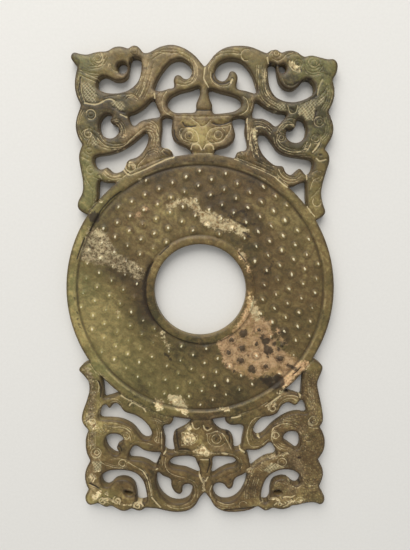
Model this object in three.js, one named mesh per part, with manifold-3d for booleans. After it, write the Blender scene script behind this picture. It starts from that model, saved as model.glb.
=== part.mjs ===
// A jade bi in the manner of the Western Han: a round disc with a raised rim at its edge and at
// its hole, rows of grain bosses between them, and an openwork crest above and below. Each crest
// is two dragons back to back, which meet at a mask in the middle. All of it is one slab of jade.
//
// Units are millimetres. The disc lies flat in the XY plane with its back on Z = 0 and its carved
// face up, and the middle of its hole is at X = Y = 0. +Y points to the top crest.
import * as THREE from 'three';
import { mergeVertices } from 'three/addons/utils/BufferGeometryUtils.js';
import Module from 'manifold-3d';

const wasm = await Module();
wasm.setup();

// ---- driving dimensions ----
const DISC_RADIUS = 56;
const HOLE_RADIUS = 19.4;
const THICKNESS = 4.6;
const OUTER_RIM_WIDTH = 3.5;
const INNER_RIM_WIDTH = 3.1;
const EDGE_ROUNDING = 0.5; // bevel on the edges of the disc and of its hole
const GROUND_DEPTH = 0.9; // how far the bossed ground lies below the rims, on the carved face
const BACK_GROUND_DEPTH = 0.5;
const STEP_WIDTH = 0.5; // the sloping step from a rim down to the ground
const CREST_THICKNESS = 4.4;

const BOSS_PITCH = 6.12; // from one grain boss to the next, in a triangular pattern
const BOSS_LEAN = 6.2; // degrees that the columns of bosses lean to the right
const BOSS_RADIUS = 2.1;
const BOSS_HEIGHT = 0.8;
const BOSS_SIDES = 5;
const BOSS_PHASE = 3.1; // the height of the middle column's first boss above the centre
const BOSS_SINK = 0.02; // how deep a boss is let into the ground, so that the two join

const DISC_SEGMENTS = 72;
const CURVE_STEP = 0.3; // spacing of the points worked out along an outline
const FACET_ERROR = 0.08; // how far a facet may leave its curve
const HIDDEN_RADIUS = 53.6; // where a crest ends, inside the disc's outer rim

// ---- outlines ----
// An outline is a list of runs. A run is a smooth curve through its points [x, y], and two runs
// meet at a corner. A loop with one run closes on itself smoothly.

// The foot, back, ear and brow of each dragon, from the left foot over the top to the right foot.
const topEdge = [
  [[-44.6, 31.2], [-47.5, 31.9], [-50.3, 34.2], [-50.2, 37], [-48.3, 40.6], [-48, 45],
    [-48.9, 50.5], [-49.4, 55], [-48.7, 58], [-47.8, 59.9]],
  [[-47.8, 59.9], [-49.3, 62.3], [-50.4, 66.5], [-49.9, 70.3], [-48, 75.4]],
  [[-48, 75.4], [-49.7, 79], [-50.3, 83.5], [-49.9, 86.7], [-48.9, 90.3]],
  [[-48.9, 90.3], [-50.8, 92.3], [-51.6, 94], [-50.5, 95.7], [-47.5, 95.1], [-44.5, 94.9],
    [-41, 96], [-37, 96.2], [-34.3, 97.7], [-31.5, 98], [-28.4, 97.1]],
  [[-28.4, 97.1], [-26.9, 98.3], [-24.8, 98.1], [-22.6, 95.5]],
  [[-22.6, 95.5], [-20.5, 95.6], [-16, 97.8], [-11.2, 98.7], [-6.5, 97.5], [-2, 94.6],
    [0.3, 91.9], [1.9, 90.1]],
  [[1.9, 90.1], [3.5, 91.9], [6, 95], [10, 97.5], [15, 98.3], [20.5, 97.8], [26.7, 95.3]],
  [[26.7, 95.3], [28.3, 96.5], [30.6, 96.8], [32.6, 95.5]],
  [[32.6, 95.5], [34.2, 96.2], [36.5, 96.5], [39.5, 95.5], [41.6, 93.9]],
  [[41.6, 93.9], [44.5, 94.6], [48, 93.8], [51, 93.1], [53.6, 93.1], [55.1, 91.3],
    [54.9, 88.3], [53.2, 85]],
  [[53.2, 85], [54.1, 82], [54.1, 78.5], [53.3, 75.6], [51.9, 72.8]],
  [[51.9, 72.8], [53.4, 69.5], [54.2, 66], [53.4, 62.4], [50.7, 58]],
  [[50.7, 58], [52.4, 56.2], [52.9, 53.2], [51.9, 50], [50.4, 44.5], [49.8, 40],
    [50.7, 35.8], [51.8, 32.6], [50.6, 30.8], [46.6, 28.6]],
];

// The same of the bottom crest, from the right foot round below to the left foot.
const bottomEdge = [
  [[46.6, -28.6], [49.3, -29.9], [51.7, -31.7], [52.4, -33.2], [51.6, -36], [50.2, -40],
    [50.9, -44], [52.3, -50], [53.1, -54.5], [52.9, -57.6], [51.6, -59.6]],
  [[51.6, -59.6], [53.2, -62], [54.2, -66], [53.7, -70.3], [51.1, -74.6]],
  [[51.1, -74.6], [53, -77.3], [53.8, -81], [53.2, -84], [52.1, -86.6]],
  [[52.1, -86.6], [53.2, -89], [54.6, -91.4], [54.5, -93.8], [53, -95.2], [50.5, -94.2],
    [46.5, -94.4], [43.6, -95.3], [40.6, -95.5]],
  [[40.6, -95.5], [39, -96.7], [36, -97.4], [31.8, -96.6]],
  [[31.8, -96.6], [30.3, -97.6], [28.6, -98], [26.9, -97], [25.2, -95.8]],
  [[25.2, -95.8], [22.5, -97.3], [18.5, -98.4], [14, -98.7], [9.5, -98], [6.2, -95.9],
    [4.4, -92.6], [1.9, -89.3]],
  [[1.9, -89.3], [-0.3, -92], [-2.2, -95.6], [-5.5, -98], [-10, -98.7], [-14.5, -98.2],
    [-19, -97], [-24.3, -96.6]],
  [[-24.3, -96.6], [-26.2, -98], [-28.5, -97.7], [-30.3, -96.9]],
  [[-30.3, -96.9], [-32.5, -98], [-35, -98], [-37.3, -96.7], [-39.3, -95.6]],
  [[-39.3, -95.6], [-41.5, -96.4], [-43.4, -95.5], [-44.9, -94.5]],
  [[-44.9, -94.5], [-46.5, -94.9], [-48.8, -95.4], [-50.4, -93.8], [-50.6, -91], [-48.9, -88.5]],
  [[-48.9, -88.5], [-50.2, -85.5], [-50.6, -81.5], [-49.6, -77.8], [-48, -74.9]],
  [[-48, -74.9], [-49.6, -71], [-49.9, -67], [-49.6, -63.8], [-48.4, -61]],
  [[-48.4, -61], [-50.4, -58.8], [-51.3, -56.3], [-50.7, -52.5], [-48.9, -47.8],
    [-47.6, -42.5], [-48, -39.3], [-49.8, -36.6], [-51.9, -34.3], [-50.6, -32.2],
    [-47.7, -30.4], [-45.2, -30.2]],
];

// The openings cut through the top crest. Left and right are as seen from the carved face.
const topOpenings = {
  leftJaw: [[[-23.7, 93.2], [-23.5, 88.5], [-25, 84.3], [-28.5, 81.3], [-33, 80], [-38, 80.2],
    [-41.2, 82], [-40.9, 85.2], [-38.4, 86.8], [-36.2, 86], [-34, 84.9], [-31, 85.1],
    [-29, 86.6], [-28.2, 89.8], [-27.2, 93.6]]],
  rightJaw: [[[27.4, 91], [27.3, 87], [28, 82.5], [30.2, 78.9], [33.5, 77.1], [38, 76.5],
    [42.5, 77.7], [45.6, 79.8], [46, 82.8], [44, 85.3], [41.8, 85.3], [39.8, 83],
    [37.3, 81.4], [34.5, 81.8], [32.1, 84], [30.9, 87.5], [30.3, 91.2]]],
  leftMouth: [[[-32.9, 88.6], [-32.9, 90.8], [-31.2, 92.1], [-29.2, 91], [-29, 88.8],
    [-30.8, 87.4]]],
  rightMouth: [[[31.8, 88.4], [31.7, 90.5], [33.1, 91.3], [34.6, 90.3], [34.3, 88.1],
    [32.9, 87.5]]],
  leftArc: [[[-18.4, 81.3], [-17.4, 84.7], [-14.7, 89], [-11.5, 92.3], [-8, 93.2],
    [-4.6, 91.7], [-3, 88.8], [-4.2, 85.9], [-6.3, 85.5], [-8, 87], [-9.7, 86.9],
    [-10.6, 85], [-10.3, 82.2], [-12.5, 81.8], [-15.8, 80.8]]],
  rightArc: [[[22.8, 80], [22.2, 84], [20.3, 88.4], [16.8, 92.2], [12.2, 93.2], [7.6, 91.5],
    [5.9, 88], [7, 85.4], [9.3, 84.6], [11.1, 86], [12, 88.4], [13.8, 88.4], [15.2, 86.3],
    [14.7, 82], [18.6, 80.9]]],
  leftHorn: [[[-13.3, 75.5], [-12, 78.4], [-8, 80.5], [-3.5, 81.5], [-0.1, 82.6], [-0.1, 79],
    [-1.5, 76], [-1.8, 72.7], [-6, 72.4], [-10.5, 72.5]]],
  rightHorn: [[[3.7, 81.6], [8, 80.6], [12.5, 79.5], [16.2, 77.8], [16.8, 75.2], [14, 73],
    [9, 72.2], [5.3, 72.2], [5, 75.5], [3.8, 78]]],
  leftWaist: [[[-19, 77.8], [-17.2, 74.4], [-16, 71], [-20, 70.1], [-23.5, 69.3],
    [-26.8, 67.1], [-28.3, 69], [-29, 71.6], [-26.5, 72.3], [-22.5, 74.7]]],
  rightWaist: [[[22.5, 77], [26.4, 74.6], [30.6, 72.7], [35.3, 71.9], [33, 68.8],
    [30.6, 66.9], [28.5, 68.5], [25.5, 70], [21.2, 70.5], [21.7, 74]]],
  leftCurl: [[[-40.8, 66.5], [-40.2, 69.8], [-37.8, 71.9], [-35.3, 71.2], [-36.4, 69],
    [-35.2, 67.8], [-33.2, 66.9], [-33, 64.6], [-34.8, 62.6], [-37.5, 62.3],
    [-39.9, 63.8]]],
  rightCurl: [[[39.3, 69.8], [41.6, 69.5], [43.1, 66.5], [42.6, 62.6], [40, 60.6], [37, 60.9],
    [34.9, 63], [35.4, 65.7], [37.8, 65.7], [38.9, 67.5]]],
  leftLeg: [[[-43.3, 54.7], [-37, 56.1], [-32.8, 57.4], [-27.5, 60.4], [-24, 63.4],
    [-21.7, 64.9], [-20.9, 62], [-22.9, 57.4], [-25.5, 54.9], [-29.4, 53.5], [-31.3, 49.7],
    [-34.5, 48.4], [-36.6, 49.5], [-37.9, 50.9], [-39.9, 49.8], [-42.3, 50.6]]],
  rightLeg: [[[24.3, 64], [26.5, 63.8], [29.4, 60.4], [32, 57.1], [36, 55.4], [42, 54.4],
    [46, 53.3], [45.3, 48.9], [43.2, 47.7], [41.9, 49.3], [40.6, 50.4], [39.2, 49.2],
    [37, 47.6], [34.9, 48.9], [33.9, 51.2], [31, 51.4], [26.5, 54.8], [24.2, 58.5],
    [23.4, 62]]],
  leftFoot: [
    [[-42.9, 35.6], [-42, 38.5], [-41.8, 42], [-41.4, 45.8]],
    [[-41.4, 45.8], [-38.8, 44.6], [-35.6, 44.7], [-33.6, 44]],
    [[-33.6, 44], [-38.6, 39.4], [-42.9, 35.6]],
  ],
  rightFoot: [
    [[44.2, 33.9], [43.7, 38], [43.6, 42], [43.4, 45.2]],
    [[43.4, 45.2], [41.2, 44.4], [38.8, 43.2], [35, 42.9]],
    [[35, 42.9], [40, 38.1], [44.2, 33.9]],
  ],
  leftCheek: [[[-15.2, 70.4], [-11.3, 70.4], [-11.6, 65], [-10.8, 61.8], [-8.6, 60.2],
    [-4.6, 58.3], [-3, 55.5], [-6.5, 54.6], [-10.9, 53.9], [-11.2, 56.8], [-13, 58.3],
    [-15.6, 58.8], [-16, 61.5], [-15.3, 66]]],
  rightCheek: [[[13, 69.8], [18.2, 70.3], [18.1, 65], [19.3, 59.3], [18.5, 57.5],
    [15.3, 56.9], [13.6, 53.8], [9.5, 54.3], [5.7, 54.9], [6.4, 57.8], [11, 59.1],
    [13.6, 61.2], [14.4, 63.8], [13.5, 66.7]]],
};

// The openings cut through the bottom crest, which is carved as the top one's mirror image by a
// free hand, so that no two of its openings quite repeat.
const bottomOpenings = {
  leftJaw: [[[-23.7, -93.5], [-24, -88], [-25.3, -83.8], [-28, -80.8], [-32, -79.3],
    [-37, -79.1], [-41, -79.9], [-43.4, -82.3], [-43, -85.8], [-41.2, -87], [-39.3, -86.2],
    [-37.6, -84.3], [-34.5, -83.4], [-31.3, -84.1], [-29, -86.3], [-28.1, -90],
    [-27.6, -94]]],
  rightJaw: [[[26.7, -92.5], [27.2, -87.5], [28.8, -83.4], [31.8, -80.4], [36, -78.9],
    [40, -79.2], [43, -80.8], [44, -84], [42.3, -86.1], [40.2, -85.3], [38.3, -83.5],
    [35, -83.2], [32, -84.7], [30.8, -87.8], [30.7, -91.5], [29.3, -93.9], [27.4, -93.9]]],
  leftMouth: [[[-33.2, -88.4], [-31.8, -89], [-30.2, -89.2], [-29.3, -90], [-30.4, -91],
    [-32.4, -90.8], [-33.4, -89.8]]],
  rightMouth: [[[32, -89.3], [33.6, -88.4], [35.2, -88.7], [36.1, -90], [34.6, -90.6],
    [33, -90.4]]],
  leftArc: [[[-18.4, -79.9], [-19.3, -83], [-18.5, -87.8], [-16, -91.8], [-12.3, -94.2],
    [-8.5, -94.5], [-5.2, -93], [-3.6, -89.5], [-3.6, -86.3], [-5.8, -85.4], [-7.8, -86.6],
    [-7.9, -89.3], [-9.3, -90.4], [-11.6, -88.9], [-12.8, -86.2], [-13, -83.4],
    [-16.6, -81.7]]],
  rightArc: [[[20.2, -80.2], [20.3, -83.5], [18.9, -88], [16.3, -91.8], [12.7, -93.8],
    [8.8, -93.6], [6.3, -91.5], [5.5, -88], [6.2, -85.7], [8.3, -84.9], [10.6, -85.8],
    [11.6, -87.4], [12.7, -88], [14.1, -87.1], [14.8, -84], [15.6, -82.6], [18.6, -81.3]]],
  leftHorn: [[[-13.7, -76], [-12.3, -73.8], [-9, -72.9], [-4.5, -72.8], [-2.2, -73.6],
    [-1.4, -76.2], [-0.2, -79], [-0.4, -81.5], [-3.1, -80.6], [-6.5, -79.1],
    [-10.5, -78.5], [-13, -77.6]]],
  rightHorn: [[[16, -75.8], [14.7, -73.6], [10, -73], [5.5, -73.2], [5.4, -76.5],
    [4.8, -79.5], [5.1, -81.8], [8.1, -79.9], [11.7, -78], [14.8, -77.4]]],
  leftWaist: [[[-31.2, -74], [-30.7, -70.8], [-29.2, -68.4], [-27.6, -67.9], [-24.8, -70],
    [-21, -71], [-16.9, -71.2], [-17.7, -73.3], [-18.9, -76], [-19.6, -77.8],
    [-22.6, -76], [-25.7, -74.8], [-28.5, -74.5]]],
  rightWaist: [[[32.9, -72.3], [32, -68.3], [30.2, -66.3], [27.8, -68.4], [24.8, -70],
    [19.6, -70.2], [21.1, -73], [21.6, -76], [22.2, -78.2], [24.8, -76], [28.5, -73.7]]],
  leftCurl: [[[-41.5, -65.8], [-40.6, -63.6], [-37.8, -62.6], [-34.8, -63.2], [-33.3, -65.3],
    [-34.4, -67], [-36, -67.8], [-36.4, -69.3], [-35.1, -71.4], [-36.4, -72.4],
    [-38.6, -71.3], [-40.5, -69.3]]],
  rightCurl: [[[36, -64], [37.3, -62.1], [39.5, -61.4], [42, -62], [43.3, -65],
    [43.2, -68.3], [42, -70], [40.2, -68.6], [38, -67], [36.4, -65.9]]],
  leftLeg: [[[-43.6, -55.8], [-43.4, -52.5], [-42, -50], [-40.6, -49.3], [-39.1, -51.4],
    [-37.6, -49.4], [-36, -48.8], [-34.5, -50.2], [-32.7, -52.7], [-28, -54.3],
    [-24.5, -56.6], [-21.5, -60.5], [-20.9, -63], [-22.4, -65.2], [-25, -64.7],
    [-29.3, -59.5], [-33.9, -57], [-38.5, -56.3]]],
  rightLeg: [[[45.9, -53.6], [45.3, -49.8], [43.5, -47.2], [42.1, -48.8], [41, -49.9],
    [37.8, -48.5], [35.2, -49.9], [33.4, -53.2], [31, -54.5], [27, -55.2], [24.3, -57.5],
    [22.9, -61], [24.3, -63.8], [27, -63.2], [31, -59], [35.5, -55.5], [39, -53.8],
    [42.5, -53.2]]],
  leftFoot: [
    [[-42.6, -35.8], [-41.8, -41], [-41.4, -46.8]],
    [[-41.4, -46.8], [-38.9, -46], [-36.6, -45.2], [-33.6, -44]],
    [[-33.6, -44], [-38.6, -39.4], [-42.6, -35.8]],
  ],
  rightFoot: [
    [[44.1, -34.2], [43.9, -39], [43.5, -45.4]],
    [[43.5, -45.4], [41.3, -44.8], [38.6, -44], [35.2, -42.9]],
    [[35.2, -42.9], [40, -38.1], [44.1, -34.2]],
  ],
  leftCheek: [[[-15.3, -70.3], [-15.3, -65], [-16.4, -60.8], [-15.6, -58.8], [-13, -58.4],
    [-11.6, -56.3], [-11.4, -53.8], [-7, -54.6], [-3.9, -55.3], [-4.9, -58.5],
    [-9, -61.2], [-11.3, -62.5], [-11.9, -65], [-11.4, -71.2]]],
  rightCheek: [[[17.6, -69], [18.1, -65.5], [19, -61], [18.2, -58.7], [13.2, -58.7],
    [10.9, -57.1], [10.3, -54.1], [7.5, -54.5], [5.2, -55], [6, -58.9], [9, -61.6],
    [12.6, -62.6], [14.3, -65], [14.8, -69.8]]],
};

// The points of one run, close together along a smooth curve through the given ones.
function runPoints(run, closed) {
  const curve = new THREE.CatmullRomCurve3(
    run.map(([x, y]) => new THREE.Vector3(x, y, 0)), closed, 'centripetal');
  const count = Math.ceil(curve.getLength() / CURVE_STEP);
  const points = curve.getSpacedPoints(count).map((p) => new THREE.Vector2(p.x, p.y));
  points.pop(); // the next run starts there, or the loop closes there
  return points;
}

// Drops the points of an open line that lie within FACET_ERROR of the line through the others.
function thinned(points) {
  const first = points[0];
  const last = points[points.length - 1];
  const along = last.clone().sub(first).normalize();
  let farthest = 0;
  let error = FACET_ERROR;
  points.forEach((point, index) => {
    const offset = point.clone().sub(first);
    const distance = along.lengthSq() > 0 ? Math.abs(offset.cross(along)) : offset.length();
    if (distance > error) {
      farthest = index;
      error = distance;
    }
  });
  if (farthest === 0) return [first, last];
  const before = thinned(points.slice(0, farthest + 1));
  return [...before.slice(0, -1), ...thinned(points.slice(farthest))];
}

// A closed loop of points from a list of runs.
function loopPoints(runs) {
  const points = runs.flatMap((run) => runPoints(run, runs.length === 1));
  return thinned([...points, points[0]]).slice(0, -1);
}

// ---- solids ----
function solidOf(geometry) {
  geometry.deleteAttribute('normal');
  geometry.deleteAttribute('uv');
  const merged = mergeVertices(geometry, 1e-4);
  const vertProperties = new Float32Array(merged.getAttribute('position').array);
  const triVerts = new Uint32Array(merged.index.array);
  return new wasm.Manifold(new wasm.Mesh({ numProp: 3, vertProperties, triVerts }));
}

// The disc is a ring turned about Z: hole wall, rims, and a sunk ground on either face.
function makeDisc() {
  const top = THICKNESS;
  const bevel = EDGE_ROUNDING;
  const innerRim = HOLE_RADIUS + INNER_RIM_WIDTH;
  const outerRim = DISC_RADIUS - OUTER_RIM_WIDTH;
  const ground = top - GROUND_DEPTH;
  const section = [
    [HOLE_RADIUS, bevel],
    [HOLE_RADIUS + bevel, 0],
    [innerRim, 0],
    [innerRim + STEP_WIDTH, BACK_GROUND_DEPTH],
    [outerRim - STEP_WIDTH, BACK_GROUND_DEPTH],
    [outerRim, 0],
    [DISC_RADIUS - bevel, 0],
    [DISC_RADIUS, bevel],
    [DISC_RADIUS, top - bevel],
    [DISC_RADIUS - bevel, top],
    [outerRim, top],
    [outerRim - STEP_WIDTH, ground],
    [innerRim + STEP_WIDTH, ground],
    [innerRim, top],
    [HOLE_RADIUS + bevel, top],
    [HOLE_RADIUS, top - bevel],
    [HOLE_RADIUS, bevel],
  ].map(([radius, height]) => new THREE.Vector2(radius, height));
  const ring = new THREE.LatheGeometry(section, DISC_SEGMENTS);
  ring.rotateX(Math.PI / 2); // turned about Y, so it is stood on Z
  return solidOf(ring);
}

// The grain bosses, low points that stand on the ground in a triangular pattern.
function makeBosses() {
  const ground = THICKNESS - GROUND_DEPTH;
  const nearest = HOLE_RADIUS + INNER_RIM_WIDTH + STEP_WIDTH + BOSS_RADIUS;
  const farthest = DISC_RADIUS - OUTER_RIM_WIDTH - STEP_WIDTH - BOSS_RADIUS;
  const columnGap = BOSS_PITCH * Math.sqrt(3) / 2;
  const columns = Math.ceil(farthest / columnGap);
  const lean = -THREE.MathUtils.degToRad(BOSS_LEAN);
  const bosses = [];
  for (let column = -columns; column <= columns; column += 1) {
    for (let row = -columns; row <= columns; row += 1) {
      const place = new THREE.Vector2(
        column * columnGap, (row + (Math.abs(column) % 2) / 2) * BOSS_PITCH + BOSS_PHASE);
      place.rotateAround(new THREE.Vector2(), lean);
      if (place.length() < nearest || place.length() > farthest) continue;
      const boss = new THREE.ConeGeometry(BOSS_RADIUS, BOSS_HEIGHT, BOSS_SIDES);
      boss.rotateX(Math.PI / 2);
      boss.translate(place.x, place.y, ground + BOSS_HEIGHT / 2 - BOSS_SINK);
      bosses.push(solidOf(boss));
    }
  }
  return wasm.Manifold.union(bosses);
}

// One crest: its edge, closed by an arc that lies hidden in the disc's rim, less its openings.
function makeCrest(edge, openings) {
  const outline = edge.flatMap((run) => runPoints(run, false));
  const [endX, endY] = edge[edge.length - 1].at(-1);
  const end = Math.atan2(endY, endX);
  const start = Math.atan2(edge[0][0][1], edge[0][0][0]);
  const steps = DISC_SEGMENTS / 3;
  for (let step = 0; step < steps; step += 1) {
    const angle = end + (start - end) * step / steps;
    outline.push(new THREE.Vector2(
      HIDDEN_RADIUS * Math.cos(angle), HIDDEN_RADIUS * Math.sin(angle)));
  }
  // The edges run clockwise. An anticlockwise shape has its holes turned the right way round.
  const shape = new THREE.Shape(thinned([...outline, outline[0]]).slice(0, -1).reverse());
  Object.values(openings).forEach((runs) => shape.holes.push(new THREE.Path(loopPoints(runs))));
  return solidOf(new THREE.ExtrudeGeometry(
    shape, { depth: CREST_THICKNESS, bevelEnabled: false, curveSegments: 1 }));
}

function meshOf(solid, name, material) {
  const { vertProperties, triVerts } = solid.getMesh();
  const geometry = new THREE.BufferGeometry();
  geometry.setAttribute('position', new THREE.BufferAttribute(vertProperties, 3));
  geometry.setIndex(new THREE.BufferAttribute(triVerts, 1));
  geometry.computeVertexNormals();
  const mesh = new THREE.Mesh(geometry, material);
  mesh.name = name;
  return mesh;
}

const jade = new THREE.MeshStandardMaterial({ color: '#73693f', roughness: 0.32, metalness: 0 });

const bi = makeDisc()
  .add(makeCrest(topEdge, topOpenings))
  .add(makeCrest(bottomEdge, bottomOpenings))
  .add(makeBosses());

const part = new THREE.Group();
part.add(meshOf(bi, 'jade_bi', jade));

export default part;
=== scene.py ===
# %% [markdown]
# # A jade bi disc with two openwork dragon crests
#
# The object is one slab of jade: a round disc with rows of grain bosses between two raised rims,
# and a crest of paired dragons above and below it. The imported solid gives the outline, the
# openings and the thickness. This script cuts one fine mesh on that outline, carves the relief
# into it as a height for every point, and colours it as buried jade: olive stone, cream and brown
# alteration, and pale deposit in the cut lines.
#
# Plan sizes are in millimetres, seen from the carved face, with the middle of the hole at (0, 0),
# +X to the right and +Y to the top crest. The mesh is turned into metres when it is made.

import math

import bpy
import numpy as np
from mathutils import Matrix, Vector, geometry


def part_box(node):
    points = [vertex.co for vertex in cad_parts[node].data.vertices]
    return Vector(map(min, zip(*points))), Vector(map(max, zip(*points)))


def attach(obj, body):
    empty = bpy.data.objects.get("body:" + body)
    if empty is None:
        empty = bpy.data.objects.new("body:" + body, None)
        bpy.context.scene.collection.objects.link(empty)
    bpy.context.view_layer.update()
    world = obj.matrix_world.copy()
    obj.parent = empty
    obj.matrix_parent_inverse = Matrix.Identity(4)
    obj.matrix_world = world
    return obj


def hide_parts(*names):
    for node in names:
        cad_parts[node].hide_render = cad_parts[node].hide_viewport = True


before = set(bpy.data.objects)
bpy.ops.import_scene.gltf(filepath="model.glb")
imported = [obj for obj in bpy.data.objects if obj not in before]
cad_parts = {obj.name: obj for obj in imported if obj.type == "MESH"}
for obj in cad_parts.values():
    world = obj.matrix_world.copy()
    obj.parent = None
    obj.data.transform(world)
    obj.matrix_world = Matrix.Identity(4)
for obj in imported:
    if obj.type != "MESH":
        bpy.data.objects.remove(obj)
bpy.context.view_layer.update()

MM = 0.001
SEED = 7

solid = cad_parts["jade_bi"]
low, high = (np.array(corner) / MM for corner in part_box("jade_bi"))
THICKNESS = high[2] - low[2]
DISC_RADIUS = high[0]
print("disc", round(2 * DISC_RADIUS, 1), "mm across,", round(THICKNESS, 2), "mm thick")

# %% [markdown]
# ## Driving dimensions
#
# The rims, the ground and the bosses keep the sizes of the solid. Heights are measured down from
# the top of the rims, which is the highest level of the carved face. All lengths are in mm.

# %% Driving dimensions
OUTER_RIM = 52.4  # radius where the outer rim drops to the ground
INNER_RIM = 22.5  # radius where the rim of the hole drops to it
HOLE_RADIUS = 19.4
GROUND_DEPTH = 0.75  # how far the bossed ground lies below the rims
RIM_STEP = 0.5  # width of the slope from a rim down to the ground
RIM_CUT = 0.3  # how much deeper the ground is cut right beside a rim
CUT_GAP = 0.1  # how far from the slope it is deepest
CUT_WIDTH = 0.55
CREST_DEPTH = 0.2  # how far the crests lie below the rims
PILLOW = 0.34  # how much lower a crest is at its edges than farther in
PILLOW_WIDTH = 2.3  # how far in from an edge it has risen
JOIN_RADIUS = 56.3  # the cut line where a crest meets the disc
JOIN_WIDTH = 0.3
JOIN_CUT = 0.25  # how deep that line is

BOSS_COLUMN = 5.31  # distance between the columns of bosses
BOSS_PITCH = 6.12  # distance between the bosses of a column
BOSS_LEAN = 6.2  # degrees that the columns lean to the right
BOSS_PHASE = 3.05  # how far the middle column's first boss is above the centre
BOSS_RADIUS = 2.15
BOSS_HEIGHT = 0.34  # of the swell, without the tip
TIP_RADIUS = 0.56  # half the width of the short ridge on top of a boss
TIP_HEIGHT = 0.3
FOOT_RADIUS = 1.75  # of the ring of dirt and painted shade round a boss
FOOT_WIDTH = 0.55

EDGE_STEP = 0.52  # spacing of the points along an edge
EDGE_SOFTNESS = 0.5  # how far the outline is smoothed along itself, as wear does
EDGE_INSET = 0.13  # an edge is rounded by three rows: the wall, this inset, and the one below
EDGE_ROUND = 0.55  # radius that the edges are worn to
CREST_PITCH = 0.6  # spacing of the mesh points on the crests
DISC_PITCH = 0.82  # the same on the disc
BACK_PITCH = 1.35  # and on the back

BACK_GROUND_DEPTH = 0.4
BACK_RIM_CUT = 0.1
BACK_BOSS_HEIGHT = 0.22
print("rims", round(DISC_RADIUS - OUTER_RIM, 1), "and", round(INNER_RIM - HOLE_RADIUS, 1),
      "mm wide, ground", GROUND_DEPTH, "mm below them")

# %% [markdown]
# ## The outline
#
# A level cut through the solid at half its thickness gives the edge of the slab and of every
# opening. Each loop is resampled evenly, smoothed a little along itself, and turned so that the
# stone is on its left. Points on the disc's edge and on its hole are put on their true circles.

# %% The outline
def slice_loops(mesh, level):
    """Closed loops where a level plane cuts a mesh, as arrays of (x, y) in mm.

    An edge that crosses the plane gives the point at the fraction (level - z0) / (z1 - z0)
    along it, and each face that crosses the plane joins two such points.
    """
    mesh.calc_loop_triangles()
    corners = np.empty(len(mesh.vertices) * 3)
    mesh.vertices.foreach_get("co", corners)
    corners = corners.reshape(-1, 3) / MM
    faces = np.empty(len(mesh.loop_triangles) * 3, dtype=np.int32)
    mesh.loop_triangles.foreach_get("vertices", faces)
    _, first, shared = np.unique(
        np.round(corners, 3), axis=0, return_index=True, return_inverse=True)
    faces = shared.reshape(-1)[faces.reshape(-1, 3)]
    corners = corners[first]
    above = corners[:, 2] > level
    sides = np.stack([faces, np.roll(faces, -1, axis=1)], axis=2)
    sides.sort(axis=2)
    crossing = above[sides[..., 0]] != above[sides[..., 1]]
    neighbours = {}
    for side, cut in zip(sides, crossing):
        if not cut.any():
            continue
        start, end = (tuple(pair) for pair in side[cut].tolist())
        neighbours.setdefault(start, []).append(end)
        neighbours.setdefault(end, []).append(start)
    loops = []
    while neighbours:
        here = next(iter(neighbours))
        chain = []
        while here in neighbours:
            chain.append(here)
            following = [other for other in neighbours.pop(here) if other in neighbours]
            here = following[0] if following else None
        pairs = np.array(chain)
        tail, head = corners[pairs[:, 0]], corners[pairs[:, 1]]
        part = (level - tail[:, 2]) / (head[:, 2] - tail[:, 2])
        loops.append((tail + part[:, None] * (head - tail))[:, :2])
    return loops


def evenly(points, step, closed):
    """Points at even distances of about `step` along a line, by its length."""
    line = np.vstack([points, points[:1]]) if closed else np.asarray(points, dtype=float)
    length = np.concatenate([[0], np.cumsum(np.hypot(*np.diff(line, axis=0).T))])
    count = max(int(round(length[-1] / step)), 4)
    places = np.linspace(0, length[-1], count + 1)
    if closed:
        places = places[:-1]
    return np.stack([np.interp(places, length, line[:, axis]) for axis in (0, 1)], axis=1)


def softened(loop, spread, step):
    """The closed line, each point averaged with its neighbours by a bell curve of that spread."""
    reach = int(3 * spread / step)
    weights = np.exp(-0.5 * (np.arange(-reach, reach + 1) * step / spread) ** 2)
    weights /= weights.sum()
    shifted = [weight * np.roll(loop, shift, axis=0)
               for shift, weight in zip(range(-reach, reach + 1), weights)]
    return np.sum(shifted, axis=0)


def signed_area(loop):
    """Positive for an anticlockwise loop."""
    following = np.roll(loop, -1, axis=0)
    return 0.5 * np.sum(loop[:, 0] * following[:, 1] - following[:, 0] * loop[:, 1])


def inward(loop):
    """Unit vectors to the left of the loop's direction, which is into the stone."""
    along = np.roll(loop, -1, axis=0) - np.roll(loop, 1, axis=0)
    left = np.stack([-along[:, 1], along[:, 0]], axis=1)
    return left / np.hypot(*left.T)[:, None]


FINE_STEP = 0.1  # spacing of the points while an edge is smoothed
CIRCLE_ERROR = 0.12  # how far the solid's facets leave a true circle

raw_loops = sorted(slice_loops(solid.data, THICKNESS / 2),
                   key=lambda loop: -abs(signed_area(loop)))
edges = []
for number, loop in enumerate(raw_loops):
    if (signed_area(loop) > 0) != (number == 0):
        loop = loop[::-1]
    fine = softened(evenly(loop, FINE_STEP, True), EDGE_SOFTNESS, FINE_STEP)
    radius = np.hypot(*fine.T)
    for circle in (DISC_RADIUS, HOLE_RADIUS):
        on_circle = abs(radius - circle) < CIRCLE_ERROR
        fine[on_circle] *= (circle / radius[on_circle])[:, None]
    edges.append(evenly(fine, EDGE_STEP, True))

edge_points = np.concatenate(edges)
edge_inward = np.concatenate([inward(loop) for loop in edges])
edge_loop = np.concatenate([np.full(len(loop), n) for n, loop in enumerate(edges)])
edge_next = np.concatenate(
    [start + np.roll(np.arange(len(loop)), -1)
     for start, loop in zip(np.searchsorted(edge_loop, np.arange(len(edges))), edges)])
print(len(edges), "loops with", len(edge_points), "edge points")

# %% [markdown]
# ## How far in a point lies
#
# The distance from a point of the plan to the nearest edge is needed again and again: edges are
# rounded by it, crests swell by it, and points off the stone are told by its sign.

# %% How far in a point lies
AT_ONCE = 2000  # points compared with all the others in one array


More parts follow.
